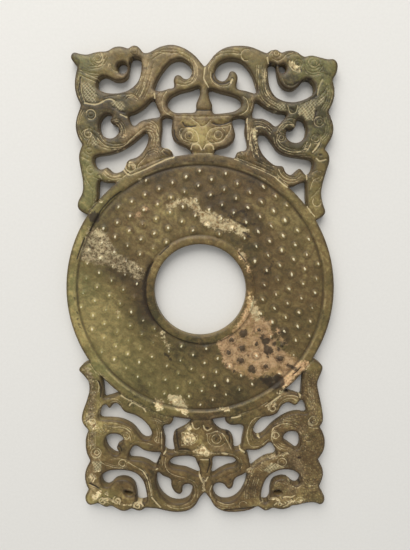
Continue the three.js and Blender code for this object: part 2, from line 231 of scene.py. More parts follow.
def nearest_of(points, others):
    """Which of the others is nearest to each point.

    The squared distance from a to b is |a|^2 - 2 a.b + |b|^2, and |a|^2 is the same for all b.
    """
    size = np.sum(others ** 2, axis=1)
    blocks = np.array_split(points, len(points) // AT_ONCE + 1)
    return np.concatenate([np.argmin(size - 2 * block @ others.T, axis=1) for block in blocks])


def depth_inside(points):
    """Distance in mm from each point to the nearest edge, negative off the stone.

    It is measured to the two stretches of edge that meet at the nearest edge point, and its sign
    is that of the offset from there along the inward direction.
    """
    nearest = nearest_of(points, edge_points)
    base = edge_points[nearest]
    offset = points - base
    side = np.sign(np.sum(offset * edge_inward[nearest], axis=1))
    best = np.hypot(*offset.T)
    previous = np.empty_like(edge_next)
    previous[edge_next] = np.arange(len(edge_next))
    for other in (edge_next, previous):
        stretch = edge_points[other[nearest]] - base
        part = np.sum(offset * stretch, axis=1) / np.sum(stretch ** 2, axis=1)
        part = np.clip(part, 0, 1)[:, None]
        best = np.minimum(best, np.hypot(*(offset - part * stretch).T))
    return side * best


print("the middle of the disc's band is", round(
    depth_inside(np.array([[(INNER_RIM + OUTER_RIM) / 2, 0.0]]))[0], 1), "mm from an edge")

# %% [markdown]
# ## The engraved lines
#
# Each crest is carved with the same things, by a free hand: a mask with ring eyes in the middle,
# scrolled loops beside it, and on each side a dragon with its head at the outer corner, a body
# that swings inward, curls on its shoulder, and a paw on the disc. A line is a list of points on a
# smooth curve, so that it can be drawn with few of them. Four tools cut the lines: a fine line, a
# pale line that holds deposit, a broad line filled with it, and a deep cut painted dark, with dirt
# and painted shade.

# %% Curves and tools
def arc(x, y, radius, start, end):
    """Points on an arc about (x, y), from one angle to the other in degrees."""
    angles = np.radians(np.linspace(start, end, max(int(abs(end - start) / 20), 3)))
    return [(x + radius * math.cos(angle), y + radius * math.sin(angle)) for angle in angles]


def curl(x, y, radius, turn=420, start=90):
    """A scroll that winds in towards (x, y): its radius falls to a third over its turn."""
    angles = np.linspace(start, start + turn, max(int(abs(turn) / 25), 6))
    radii = np.linspace(radius, radius / 3, len(angles))
    return [(x + r * math.cos(a), y + r * math.sin(a))
            for r, a in zip(radii, np.radians(angles))]


TOOLS = {  # width and depth in mm, how much pale deposit the line holds, and how dark it is painted with dirt and painted shade
    "fine": {"width": 0.46, "depth": 0.2, "cream": 0.72, "dark": 0.0},
    "pale": {"width": 0.56, "depth": 0.2, "cream": 0.95, "dark": 0.0},
    "broad": {"width": 0.9, "depth": 0.24, "cream": 1.3, "dark": 0.0},
    # the deep cut's dark is partly dirt and partly painted shade in the cut
    "cut": {"width": 0.95, "depth": 0.5, "cream": 0.0, "dark": 1.0},
}
LINE_SIDE_SHADE = 0.55  # how dark the painted shade lies along both sides of a pale line
engraved = []  # every line so far, with its tool


def carve(tool, lines):
    """Adds lines that one of the tools cuts."""
    engraved.extend((TOOLS[tool], line) for line in lines)


print(len(TOOLS), "tools, from", min(tool["width"] for tool in TOOLS.values()), "to",
      max(tool["width"] for tool in TOOLS.values()), "mm wide")

# %% [markdown]
# ## Lines of the upper crest
#
# The two dragons look outward. Their manes, jaws and paws are bunches of fine lines, and a ring
# marks an eye or a joint. The mask between them has brows, ring eyes and a nose.

# %% Lines of the upper crest
# the left dragon
carve("fine", [
    [(-38, 78.3), (-34, 78.9), (-30, 79.3), (-27, 78.5), (-25, 77.5)],
    [(-26, 81.5), (-24, 83.5), (-23.2, 87)], [(-23.2, 80), (-22, 83), (-21.6, 87)],
    [(-49, 71), (-49.3, 67), (-49, 64), (-48, 61.5)],
    [(-42.5, 91.8), (-40.8, 90.8), (-39, 91.3), (-38.1, 93)],
    [(-42.4, 60.4), (-40, 58.8), (-36, 57.8), (-32.5, 58)], [(-47.4, 56.8), (-46, 55.6), (-44.8, 55.2)],
    [(-47.2, 47.5), (-46.3, 45.5), (-45, 43.5), (-43.8, 41.5), (-43.6, 39)],
    [(-34.4, 69.2), (-32.5, 68.6), (-31.6, 66.5), (-31.9, 64)],
    [(-48.3, 87), (-49.2, 84), (-49, 80), (-47.9, 77)], arc(-45, 57.5, 1.2, 30, 330),
    arc(-39, 51.5, 6.4, 228, 290), [(-18.2, 91.5), (-19.3, 88), (-20.6, 84)],
    [(-20.2, 92.5), (-21.2, 88), (-21.9, 84.5)],
])
carve("pale", [
    [(-48, 88.8), (-44.5, 86.9), (-41, 85.3)], [(-47.3, 86.5), (-44, 85), (-41.5, 84)],
    [(-46.8, 83.8), (-44.2, 81.5), (-42.6, 80), (-41.2, 78.9)],
    [(-47.5, 86), (-47.5, 82), (-47, 78.5), (-46.2, 76.5)], [(-24.3, 78.5), (-22.8, 81), (-22.2, 84)],
    [(-41.5, 62.5), (-40, 60.5), (-37.5, 59), (-34, 58.6), (-31, 59.2), (-28, 61.6), (-25.5, 64)],
    [(-48.2, 54.9), (-46.5, 53.9), (-45.2, 53.4)], [(-25.5, 50.5), (-24.8, 52), (-22.8, 54), (-21, 56.5)],
    [(-38.5, 49), (-37, 47.6), (-35, 47), (-32.5, 47.6)],
    [(-39.3, 48.3), (-37.5, 46.6), (-35, 45.9), (-32, 46.4)], arc(-44, 71.5, 2, -120, 150),
    curl(-45, 64, 2.1, 400, 60), curl(-44.5, 49.6, 1.9, 380, 100), arc(-40.5, 93.5, 1.7, 180, 400),
    [(-46, 82.3), (-44.5, 80.3), (-43, 79.2)], [(-46, 80.4), (-44.6, 78.6), (-42.6, 78)],
])
carve("broad", [
    [(-46.3, 76), (-44, 75.6), (-42, 75.4), (-40, 76), (-38, 77.1), (-36, 77.5), (-34.3, 76.7), (-33, 75),
     (-31.5, 73.6)],
    # the short broad line at (-32, 71.5) is a painted highlight along the scroll
    [(-32, 71.5), (-29.5, 70.5)], curl(-28, 51, 2.5, 400, 150),
    [(-31.5, 50.2), (-30, 48.4), (-28.5, 47.5), (-26, 48.3), (-22, 49.9), (-18, 51.8), (-14, 53.6),
     (-10.5, 54.7)],
    [(-41, 47.2), (-40.2, 46.2)],
])
carve("cut", [
    [(-46.4, 31.6), (-45, 33.4), (-43, 35.7)], [(-35.9, 67.2), (-34, 66.6), (-32.6, 64.6)],
    [(-34.5, 74.4), (-32.3, 72.8), (-30.3, 72.2)], [(-26.6, 93.6), (-27.2, 92), (-27.9, 91.4)],
    [(-47.6, 86), (-48.2, 82), (-47.9, 79)],
])
# the mask, and the loops beside and above it
carve("fine", [
    [(-19, 94.6), (-17, 95.5), (-14, 95.3), (-12, 95), (-8, 95.4), (-5, 94.6), (-3, 92.9)],
    [(-8.2, 84.9), (-6.5, 84.1), (-4.3, 84.4), (-2.8, 85.6), (-2.1, 87.5), (-2.3, 90)],
    [(-15.9, 80.2), (-17.2, 78.5), (-17, 76)],
    [(3.3, 88), (3.7, 90), (5.3, 92.5), (7, 94), (10, 95), (13, 95.2), (16, 94.8)],
    [(20.6, 78.3), (21.2, 76), (20.4, 73.4)], [(-10, 70.9), (-4, 70.7), (2, 70.6), (8, 70.8), (14, 70.9)],
    arc(-21.5, 62.5, 3.2, -30, 95), arc(-21.5, 62.5, 4.4, -20, 80), arc(-4.4, 63.2, 3.1, 20, 300),
    arc(7.4, 63.5, 3.1, 170, 420), [(15, 56.9), (15.4, 55.5), (15, 54.4)],
    [(17.2, 57), (17.3, 55.4), (17.6, 54.2)], [(19.1, 56.7), (19, 55.2), (19.5, 54.1)],
])
carve("pale", [
    [(-9, 83.3), (-6.5, 82.8), (-3.8, 83.5), (-1.8, 84.9), (-1, 87), (-1.1, 90), (-2.2, 92.2)],
    [(-13.5, 80.3), (-14.8, 78.3), (-15.2, 76), (-14.9, 74), (-14, 72.6), (-12.5, 71.6), (-11, 71)],
    [(17.4, 78.5), (18.8, 77.3), (19.4, 75.2), (19, 73.3), (17.5, 72), (16, 71.4)],
    [(4.2, 88), (4.3, 85.8), (5.8, 83.6), (8.5, 82.4), (11, 82.5), (12.7, 83.8)],
    [(-3.5, 69.9), (-0.8, 68), (0.5, 66.7), (2.5, 67.4), (4.3, 69.4)], arc(18.6, 94.5, 2.2, 60, 280),
    [(-8.3, 65.5), (-7, 66.2), (-5, 66.1), (-3, 65.9), (-1.5, 64.8), (-0.7, 62.8), (-0.6, 61), (-2, 60.4),
     (-4, 60.6), (-6.5, 61.5), (-7.9, 63.2), (-8.3, 65.5)],
    [(2.4, 62), (3, 64), (4.2, 65.6), (6.5, 66.4), (9, 66.5), (11, 66.9), (12.4, 67.5), (12.2, 65.5),
     (11, 63.3), (9, 61.3), (6.5, 60.3), (4, 60.4), (2.4, 62)],
    arc(-4.4, 63.2, 1.6, 0, 360), arc(7.4, 63.5, 1.6, 0, 360),
    [(-15.4, 57), (-14.4, 58.2), (-12.8, 58.2), (-11.6, 56.9)], arc(-21.5, 62.5, 2.1, -30, 120),
    [(20.3, 59.4), (20.3, 62), (20.7, 64.5), (22, 66.2), (24, 66.9), (26.5, 66.4)],
    [(19.1, 68.5), (19.3, 65.5), (19.4, 62)],
])
carve("broad", [
    [(2, 89.6), (1.7, 87), (1.6, 85.4), (2.5, 83.7), (3.4, 82.3)],
    [(-3.6, 57.9), (-3.1, 59.6), (-1.8, 60.1), (-0.3, 59.4), (0.6, 57.8)],
    [(1.6, 58), (2.3, 59.4), (3.6, 59.9), (5.1, 59.3), (5.5, 58)], [(12.2, 83.9), (12.9, 85)],
    [(19.2, 70), (18.9, 68.6)], [(-18.3, 79.6), (-18.1, 78)],
])
carve("cut", [
    [(-6.9, 68.4), (-6, 67.1), (-4, 66.9), (-2, 67)], [(5, 68.2), (7.5, 67.5), (10, 67.9), (12.2, 68.8)],
    [(-1.4, 73.4), (1.5, 73.2), (4.6, 73.4)], [(-14.5, 56.6), (-13.3, 55.8)],
    [(-10.4, 65.4), (-10.1, 63), (-8.8, 61.2)],
    [(5.2, 87.4), (5.4, 85.3), (7.4, 83.7), (10, 83.5), (11.7, 84.4)],
])
# the right dragon
carve("fine", [
    [(24.8, 89.5), (24.9, 86), (25, 83), (25.6, 80.5), (27.5, 77.6), (30, 75.7)],
    [(23.1, 89), (23.6, 85), (23.8, 81), (25, 77.8), (28, 75)], [(53, 70), (53.4, 66), (52.6, 62)],
    [(53, 83), (53.3, 79.5), (52.4, 76)], [(48.5, 79), (50, 80.5), (51, 82.5)],
    [(48, 77.3), (50.3, 79), (51.8, 81.5)], [(21.5, 51.8), (26, 50), (29.5, 48.6)],
    [(22.5, 53.2), (25.5, 51.7), (28, 50.3), (30, 49.4)], [(24.5, 53.4), (27, 51.9), (30.2, 50.9)],
    [(50.4, 45), (49.6, 43), (48.4, 41.5), (47, 40), (45.5, 38.4)],
    [(48.4, 46.5), (46.4, 45.5), (45.4, 43), (45.4, 40)],
    [(33.2, 51), (34, 48.8), (35.5, 47.3), (37.7, 46.6), (39.7, 47.2), (40.7, 48.8)],
    arc(45.5, 92, 3.1, 200, 320), curl(47, 62.4, 1.8, 380, 200), arc(36.5, 66.5, 3.6, 20, 150),
    arc(47.8, 47.3, 2.1, 0, 340), [(41, 75.3), (43.5, 76.5), (46.5, 77.6)],
    [(46.8, 88), (49.5, 87.3), (52, 86.4)],
])
carve("pale", [
    [(26, 89.5), (26, 84), (26.6, 81), (28, 78.5)],
    [(35.3, 74.8), (36.4, 72.2), (38.5, 72.3), (39.3, 74.8)],
    [(33.5, 66), (34.8, 67.2), (36.8, 67.8), (38.5, 67)], [(29, 92.9), (31, 92.2), (33, 93), (34.2, 94.4)],
    [(27.7, 94.8), (28.6, 96)], [(31, 61), (32.5, 58.8), (35, 57.4), (38, 56.8), (41, 57.2), (43, 58)],
    [(14, 53.9), (17, 52.8), (20, 51.3), (24, 49.8), (28, 48), (30.5, 46.7)],
    [(32, 50), (33, 48), (34.5, 46.6), (37, 45.7), (39.5, 46), (41.2, 47.3)],
    [(31.6, 48), (33, 46.3), (35, 45), (38, 44.7), (40.5, 45.3)], [(44, 35), (45.5, 33), (47.3, 31)],
    [(20.6, 60), (21.2, 58), (21.5, 56), (22, 54.7)], [(22.5, 59), (23.3, 56.5), (23.8, 54.9)],
    arc(48, 68.8, 2, 100, 330), arc(48, 36.8, 1.8, 150, 400), arc(45.5, 92, 2.2, 180, 330),
    [(42.3, 58.2), (43.5, 60.6)], [(43.8, 57.6), (44.8, 60.2)], [(42.5, 76.4), (41.3, 73.8)],
    [(44.6, 77.2), (43.2, 73)], [(46, 76.4), (45, 72.4)],
])
carve("broad", [
    [(35.7, 92), (35.9, 90.6), (36.7, 89.2), (38, 88.4), (39.8, 88.3)],
    [(48.9, 85), (48, 83), (47.4, 81), (47.2, 79.3)], [(30.8, 46.5), (32.5, 45), (34, 43.8), (35.5, 42.7)],
    [(48.3, 60.2), (47, 58.3), (45.7, 56.8)], [(47.3, 54.2), (48.8, 53.2), (51.3, 53.8)],
    [(26.8, 93.4), (27.3, 91.5)], [(43.3, 47.8), (43.6, 46)], [(45.6, 74.4), (45.6, 71.5), (45.4, 69.4)],
])
carve("cut", [
    [(46.8, 72.9), (46.3, 70), (46.2, 67.8)], [(34.8, 65.9), (36.4, 65.4), (38.2, 65.9)],
    [(27.8, 91.6), (29.4, 91), (31.5, 90.6)], [(48.5, 55.6), (49.4, 55.6)], [(36.6, 74), (37.6, 73.4)],
    [(46.9, 79), (45.6, 78), (44.6, 77.6)],
])
print(len(engraved), "lines on the upper crest")

# %% [markdown]
# ## Lines of the lower crest
#
# The lower crest repeats the upper one upside down, though its mask still stands upright, and it
# is more worn. The carver repeated no stroke exactly, so it has its own lines.

# %% Lines of the lower crest
# the left dragon
carve("fine", [
    [(-45.3, -45), (-45.3, -41.4), (-44.7, -40.2)],
    [(-44, -47), (-42.8, -49), (-43.3, -52), (-44.2, -54.5)], [(-40.5, -60.4), (-38, -61), (-35.5, -61.4)],
    [(-48.4, -62), (-48.6, -65), (-48.4, -68.5)],
    [(-40, -46.8), (-38, -46.7), (-36, -46.9), (-34.4, -48), (-33.4, -50.3)],
    [(-28, -57.3), (-26, -60), (-25.3, -63)], [(-30.3, -68), (-28, -66), (-24, -66.4), (-20, -67.5)],
    [(-23, -88), (-22.6, -92), (-23.2, -95)], [(-38.6, -73.8), (-35.5, -73.6), (-32, -74.2)],
    arc(-32, -63.3, 1.3, 0, 330), arc(-26.8, -96.1, 1.1, 0, 330),
    [(-49.2, -79.5), (-49.6, -82), (-49.1, -84.6)],
])
carve("pale", [
    [(-46.5, -46), (-46.6, -42), (-46, -39.4), (-45, -38.5), (-43.9, -39.2), (-43.4, -41.5),
     (-43.8, -43.6)],
    [(-41.5, -58.2), (-39, -59.1), (-36, -59.3), (-32.4, -59.8), (-30.2, -61.4)],
    [(-47.4, -62), (-47.4, -65.5), (-47.6, -69)], [(-45.6, -61.5), (-45.5, -65), (-45.7, -68.4)],
    [(-44.4, -73.5), (-43, -75.3), (-41.6, -76.3), (-39, -77.2), (-36, -77.9), (-33.8, -78.1)],
    [(-31.4, -75.4), (-29, -76.8), (-27, -78)], [(-22.6, -84), (-22, -87), (-21.4, -90.6)],
    [(-49.2, -86.6), (-46.8, -87.2), (-44.8, -88.2), (-43.4, -89.4)],
    [(-38.6, -48.4), (-36.6, -47.9), (-35, -48.9), (-34.2, -50.3)], arc(-45.3, -71, 2.2, 0, 360),
    arc(-44.9, -71, 1, 0, 330), arc(-33.9, -75.6, 1.5, 20, 320),
    [(-42.3, -94.2), (-41, -93.5), (-39.8, -94.3)], [(-44, -59.4), (-42.8, -61.4)],
    [(-42.6, -59.3), (-41.4, -61.3)], [(-48.7, -33.5), (-47.4, -35.6), (-46.2, -37.2)],
    [(-47.5, -48.5), (-47.8, -51), (-48, -53)],
])
carve("broad", [
    [(-49, -58.6), (-49.1, -56.6), (-47.4, -55.3), (-45.6, -56), (-45.2, -58), (-46.6, -59.7)],
    [(-30.4, -49.6), (-29.6, -48.7), (-28.4, -48.6), (-26.5, -49.8), (-24.6, -50.9), (-23.4, -52.5)],
    [(-34, -45.2), (-32, -46.6), (-29.6, -47.7)],
    [(-26.6, -78.3), (-25.3, -79.1), (-24.3, -80.4), (-23.1, -82.6)],
    [(-44.6, -75.6), (-43.4, -76.6), (-44.1, -78), (-43.6, -79.2)],
    [(-47.6, -81), (-46.6, -82.4), (-47.4, -84)],
    [(-43.7, -93.6), (-42.8, -92.3), (-41, -91.8), (-39.2, -92.4), (-38.5, -93.5)],
    curl(-36.4, -92.8, 2, 420, 120), curl(-27.6, -95.4, 1.6, 420, 60), curl(-43, -93.4, 1.7, 400, 90),
    [(-29.4, -96), (-29.2, -94.6), (-27.8, -93.9), (-26.2, -94.4), (-25.2, -95.4)],
    [(-21.2, -91.6), (-19.6, -93.6), (-17.6, -96)], [(-41.3, -89.6), (-40.7, -89.9)],
])
carve("cut", [
    [(-48.4, -85), (-46, -86.2), (-44.4, -87.3)], [(-43.4, -39), (-42.6, -42), (-42.8, -46)],
    [(-36.2, -67.9), (-34.6, -68.6), (-34.2, -70.3)], [(-19, -76.5), (-18, -75), (-17.4, -73.4)],
    [(-28.4, -91), (-27.4, -90.6)],
])
# the mask, and the loops beside and below it
carve("fine", [
    [(-5, -83), (-3, -84), (-1.5, -86), (-1, -88.5), (-1.3, -91.3)],
    [(-10, -84.6), (-8, -83.8), (-5, -84.2), (-3, -85.7), (-2.3, -88), (-2.6, -91), (-4.5, -93.6),
     (-7, -95), (-10, -95.6), (-13, -95.4), (-15.5, -94.3)],
    [(5, -92), (7.6, -94.7), (12, -95.8), (16, -95.3)],
    [(17.5, -73.5), (18.3, -76), (17.5, -78.5), (15, -80.2), (12, -81.4), (9, -82.7), (6.8, -84)],
    [(-13, -71), (-10, -70.7), (-6, -70.8), (-3, -71)], [(-17.6, -74.4), (-18, -77), (-17, -79.4)],
    arc(7, -64.6, 3.1, 0, 250), arc(12.2, -84.6, 1.5, 180, 400), arc(-18.3, -65, 1.4, 100, 300),
    [(-16.9, -61), (-16.6, -65), (-16.8, -69)], [(1, -69), (1.3, -71.4)],
])
carve("pale", [
    [(-15, -73.2), (-15.4, -75.5), (-15, -77.8), (-13.8, -79.7), (-12, -80.9), (-9.5, -81.8), (-7, -82.3)],
    [(-2.2, -94), (-5, -95.8), (-9, -96.7), (-12, -96.4), (-14.5, -95.2)],
    [(5, -86), (4.2, -88.4), (4.6, -91)], [(6.4, -92.3), (9, -94.3), (12.5, -94.9), (15, -94.2)],
    [(1, -66.9), (-0.8, -68.8), (-3.6, -70.3)], [(1.3, -67), (2.6, -69), (4.5, -70.9), (6.8, -71.3)],
    [(5, -71.1), (8, -71.2), (10.5, -70.9), (12.5, -71.5), (15, -72.2), (16.6, -73.7)],
    [(2.6, -62.5), (4.2, -62.2), (7, -61.3), (9.6, -62.4), (11, -64.5), (12.6, -67.6), (13.4, -69.4)],
    [(3, -63), (3.4, -66), (5.4, -67.8), (8.6, -68), (10.8, -66.6)], [(-8, -61.8), (-8, -67.5)],
    [(-8, -61.8), (-5, -61.7), (-1, -63)], [(-8, -67.4), (-4.6, -67.2), (-2, -66), (-1, -63.8)],
    arc(-5.6, -64.7, 1.9, 0, 360), arc(7, -64.6, 2, 0, 360), [(-16.2, -74.4), (-16.6, -76.6)],
    [(-3.3, -72.6), (-1, -72), (3, -72.2)],
])
carve("broad", [
    [(1.5, -83.4), (1.5, -86), (1.5, -88.4)], [(-0.6, -80.6), (0, -82.4), (0.8, -84.2)],
    [(3.2, -82.3), (2.4, -83.8)], [(0.1, -74), (1.8, -74.1), (3.4, -74.1)], [(-15.8, -71.5), (-15, -70.3)],
    [(15.9, -68.2), (17.4, -69.4), (19.1, -70.7)], [(9.6, -71.2), (11.6, -71.7)],
    [(-19.2, -78.6), (-18.8, -78.4)], [(-3.5, -57.6), (-3, -59.3), (-1.8, -60.3), (-0.4, -59.6)],
    [(1.4, -58.7), (2, -60.2), (3.4, -60.8), (4.7, -60)],
])
carve("cut", [
    [(-0.5, -75), (-1, -76.8), (-0.4, -78.8)], [(3.9, -74), (4.2, -76.2), (3.5, -78.4), (3, -80)],
    [(-10.3, -61.5), (-10, -65), (-9.4, -68.4)], [(-9, -69.4), (-6, -69.5), (-4.4, -69.9)],
    [(10.6, -61.4), (12.4, -63.4), (12.8, -66.4)], [(2.6, -59.4), (3.4, -59.6)],
])
# the right dragon
carve("fine", [
    [(45, -45), (46.5, -47), (48, -49.6)], [(46.6, -44.4), (48, -46.4), (49.1, -48.8)],
    [(35, -48.9), (36.5, -47.8), (39, -47.6), (40.8, -48.5)],
    [(31.6, -48.5), (33.6, -46.7), (35.8, -45.9)], [(43, -37), (44.6, -35.4), (46.3, -34)],
    [(45.6, -38), (46.6, -41), (46.2, -44)], [(32.6, -67), (35, -69), (38, -69.6)],
    [(31.8, -68.6), (34.5, -70.8), (37, -71.3)], [(23.4, -84), (22, -88), (21.6, -92)],
    [(25.6, -83), (24.4, -87), (24, -91)], [(52.6, -79), (52.8, -82), (51.8, -85)],
    [(52.6, -63), (53, -67), (52.2, -71)], [(33, -85), (35.5, -84.6), (38, -85.6)],
    [(33.4, -87), (35.5, -86.6), (37.5, -87.4)], arc(36.6, -57, 0.9, 0, 330),
    arc(46.6, -64.5, 1.3, 0, 330), arc(49, -71, 1.4, 0, 330), arc(46.5, -79, 1.8, 0, 330),
    arc(48.6, -84.4, 1.5, 0, 330), arc(44.6, -69, 1.3, 0, 330),
    [(44, -80), (44.8, -83), (46.8, -85.2), (49.5, -86)], [(40.4, -57.6), (43, -58.6), (44.5, -61)],
    [(36, -59.5), (39.5, -59.2), (42.5, -60.6), (44, -63)],
])
carve("pale", [
    [(26, -54.9), (23.7, -55.4), (22, -57), (20.7, -60), (20.2, -63), (20.6, -65.5), (21.5, -67.5),
     (23, -68.3), (25.5, -68), (27.5, -66.8), (29.7, -64.8)],
    [(33.9, -49.6), (35, -47.9), (37, -46.7), (39.5, -46.5), (41.5, -47.4)],
    [(34.5, -46.5), (37, -45.4), (40, -45.4), (42, -46.1)], [(47, -59.4), (49, -59.8), (51, -59.9)],
    [(33.6, -78), (36, -77.7), (38, -77)], arc(35.6, -75.3, 1.9, 0, 360), arc(32.5, -63, 1.5, 0, 360),
    [(34.8, -69.6), (32.4, -67.6), (30.9, -64.8), (30.9, -61.6), (32.6, -59.2), (35.6, -57.9),
     (39, -58.1)],
    arc(43.8, -93.2, 1.9, 0, 340), arc(49, -56.4, 1.9, 60, 330), arc(18.8, -95.1, 1.8, 30, 300),
    [(28.2, -78.6), (31, -76.8), (33, -75.8)], [(29.4, -79.6), (32, -78), (33.4, -77)],
    [(48.4, -57), (49.6, -56.2)], [(40.4, -86.4), (42.4, -87.2), (44, -86.2)],
])
carve("broad", [
    [(37.4, -71), (35, -72.1), (32, -72.9), (30, -73.6)], [(22, -77.9), (21, -79), (20.4, -80.2)],
    [(28, -50), (30, -48.7), (32, -47.1), (34.4, -45.4)], curl(31.3, -50.8, 2.1, 400, 60),
    [(27.2, -93.8), (29, -93), (31, -92.1), (32.6, -91.7), (34.4, -92.5), (35, -93.8)],
    [(36.6, -91.4), (38, -91), (39.8, -91.3), (41.4, -90.5)],
    [(36.4, -95.9), (38, -95.1), (39.2, -93.6), (39.9, -92.6)], [(28.7, -96.9), (29.1, -96.5)],
    # the short broad line at (24, -63) is a painted highlight on the claw
    [(32.6, -94.9), (33.5, -94)], [(42.7, -44.5), (42.8, -46)], [(24, -63), (25.6, -64.3)],
    [(13.6, -55.2), (15.5, -54.9), (17.4, -54.3)], [(46.8, -56), (46.8, -58), (48.2, -58.7)],
])
carve("cut", [
    [(36.6, -43.6), (38, -43.4), (39.2, -43)], [(42.6, -73.2), (43.4, -73.4)],
    [(40.6, -85.3), (42.4, -85.6), (43.6, -84.8)], [(39.6, -62), (38, -63.6)], [(48, -57.4), (49, -56.4)],
    [(10.5, -97.4), (14, -97.2), (19, -96.9), (23.6, -96)],
])
print(len(engraved), "lines on both crests")

# %% [markdown]
# ## Lines of the disc
#
# The disc has no drawing, only cracks, scratches, and stretches beside a rim where the tool went
# deeper. Their dark is partly dirt and partly painted shade.

# %% Lines of the disc
carve("fine", [
    [(24, 47.2), (27, 45.6), (29, 43.6)], [(-43, -35), (-40, -38.6), (-37, -41.5)],
    [(-30, -46.8), (-26, -49.2), (-21, -51.5)],
])
carve("pale", [
    [(-34.7, -9.6), (-34.7, -8.3)], [(-35.4, -9), (-34, -8.9)], [(46.5, 31.4), (43.5, 35.4), (40, 39.3)],
    [(-47.3, -30.8), (-45.8, -33.3), (-44.5, -35.3)],
])
carve("broad", [
    [(8.3, -51.2), (10, -51.5), (12, -51)],
])
carve("cut", [
    [(-45.6, 25), (-43.6, 28.6), (-41, 33), (-38.6, 35.8), (-36, 38.4), (-32.5, 41)],
    [(-51, 13.6), (-49.8, 17), (-47.8, 22)], [(-16.8, 15), (-14.8, 17), (-12.9, 18.6)],
    [(16, 15.8), (17.6, 14), (19, 12.1)], [(39.6, -35.9), (41.2, -34.6), (42.5, -33)],
    [(-19.6, 12), (-21.6, 8), (-22.6, 3), (-22.8, -2), (-22, -7.4), (-19.8, -11.8), (-16.6, -15.6),
     (-12, -19), (-6.5, -21.5), (-1, -22.6)],
])
print(len(engraved), "lines with those of the disc")

# %% [markdown]
# ## Bands of lines, rings and arcs
#
# Manes, legs and curls are shaded with fine lines that run side by side. One line of each band is
# given, with the distances of its neighbours. Eyes and joints are pairs of rings.

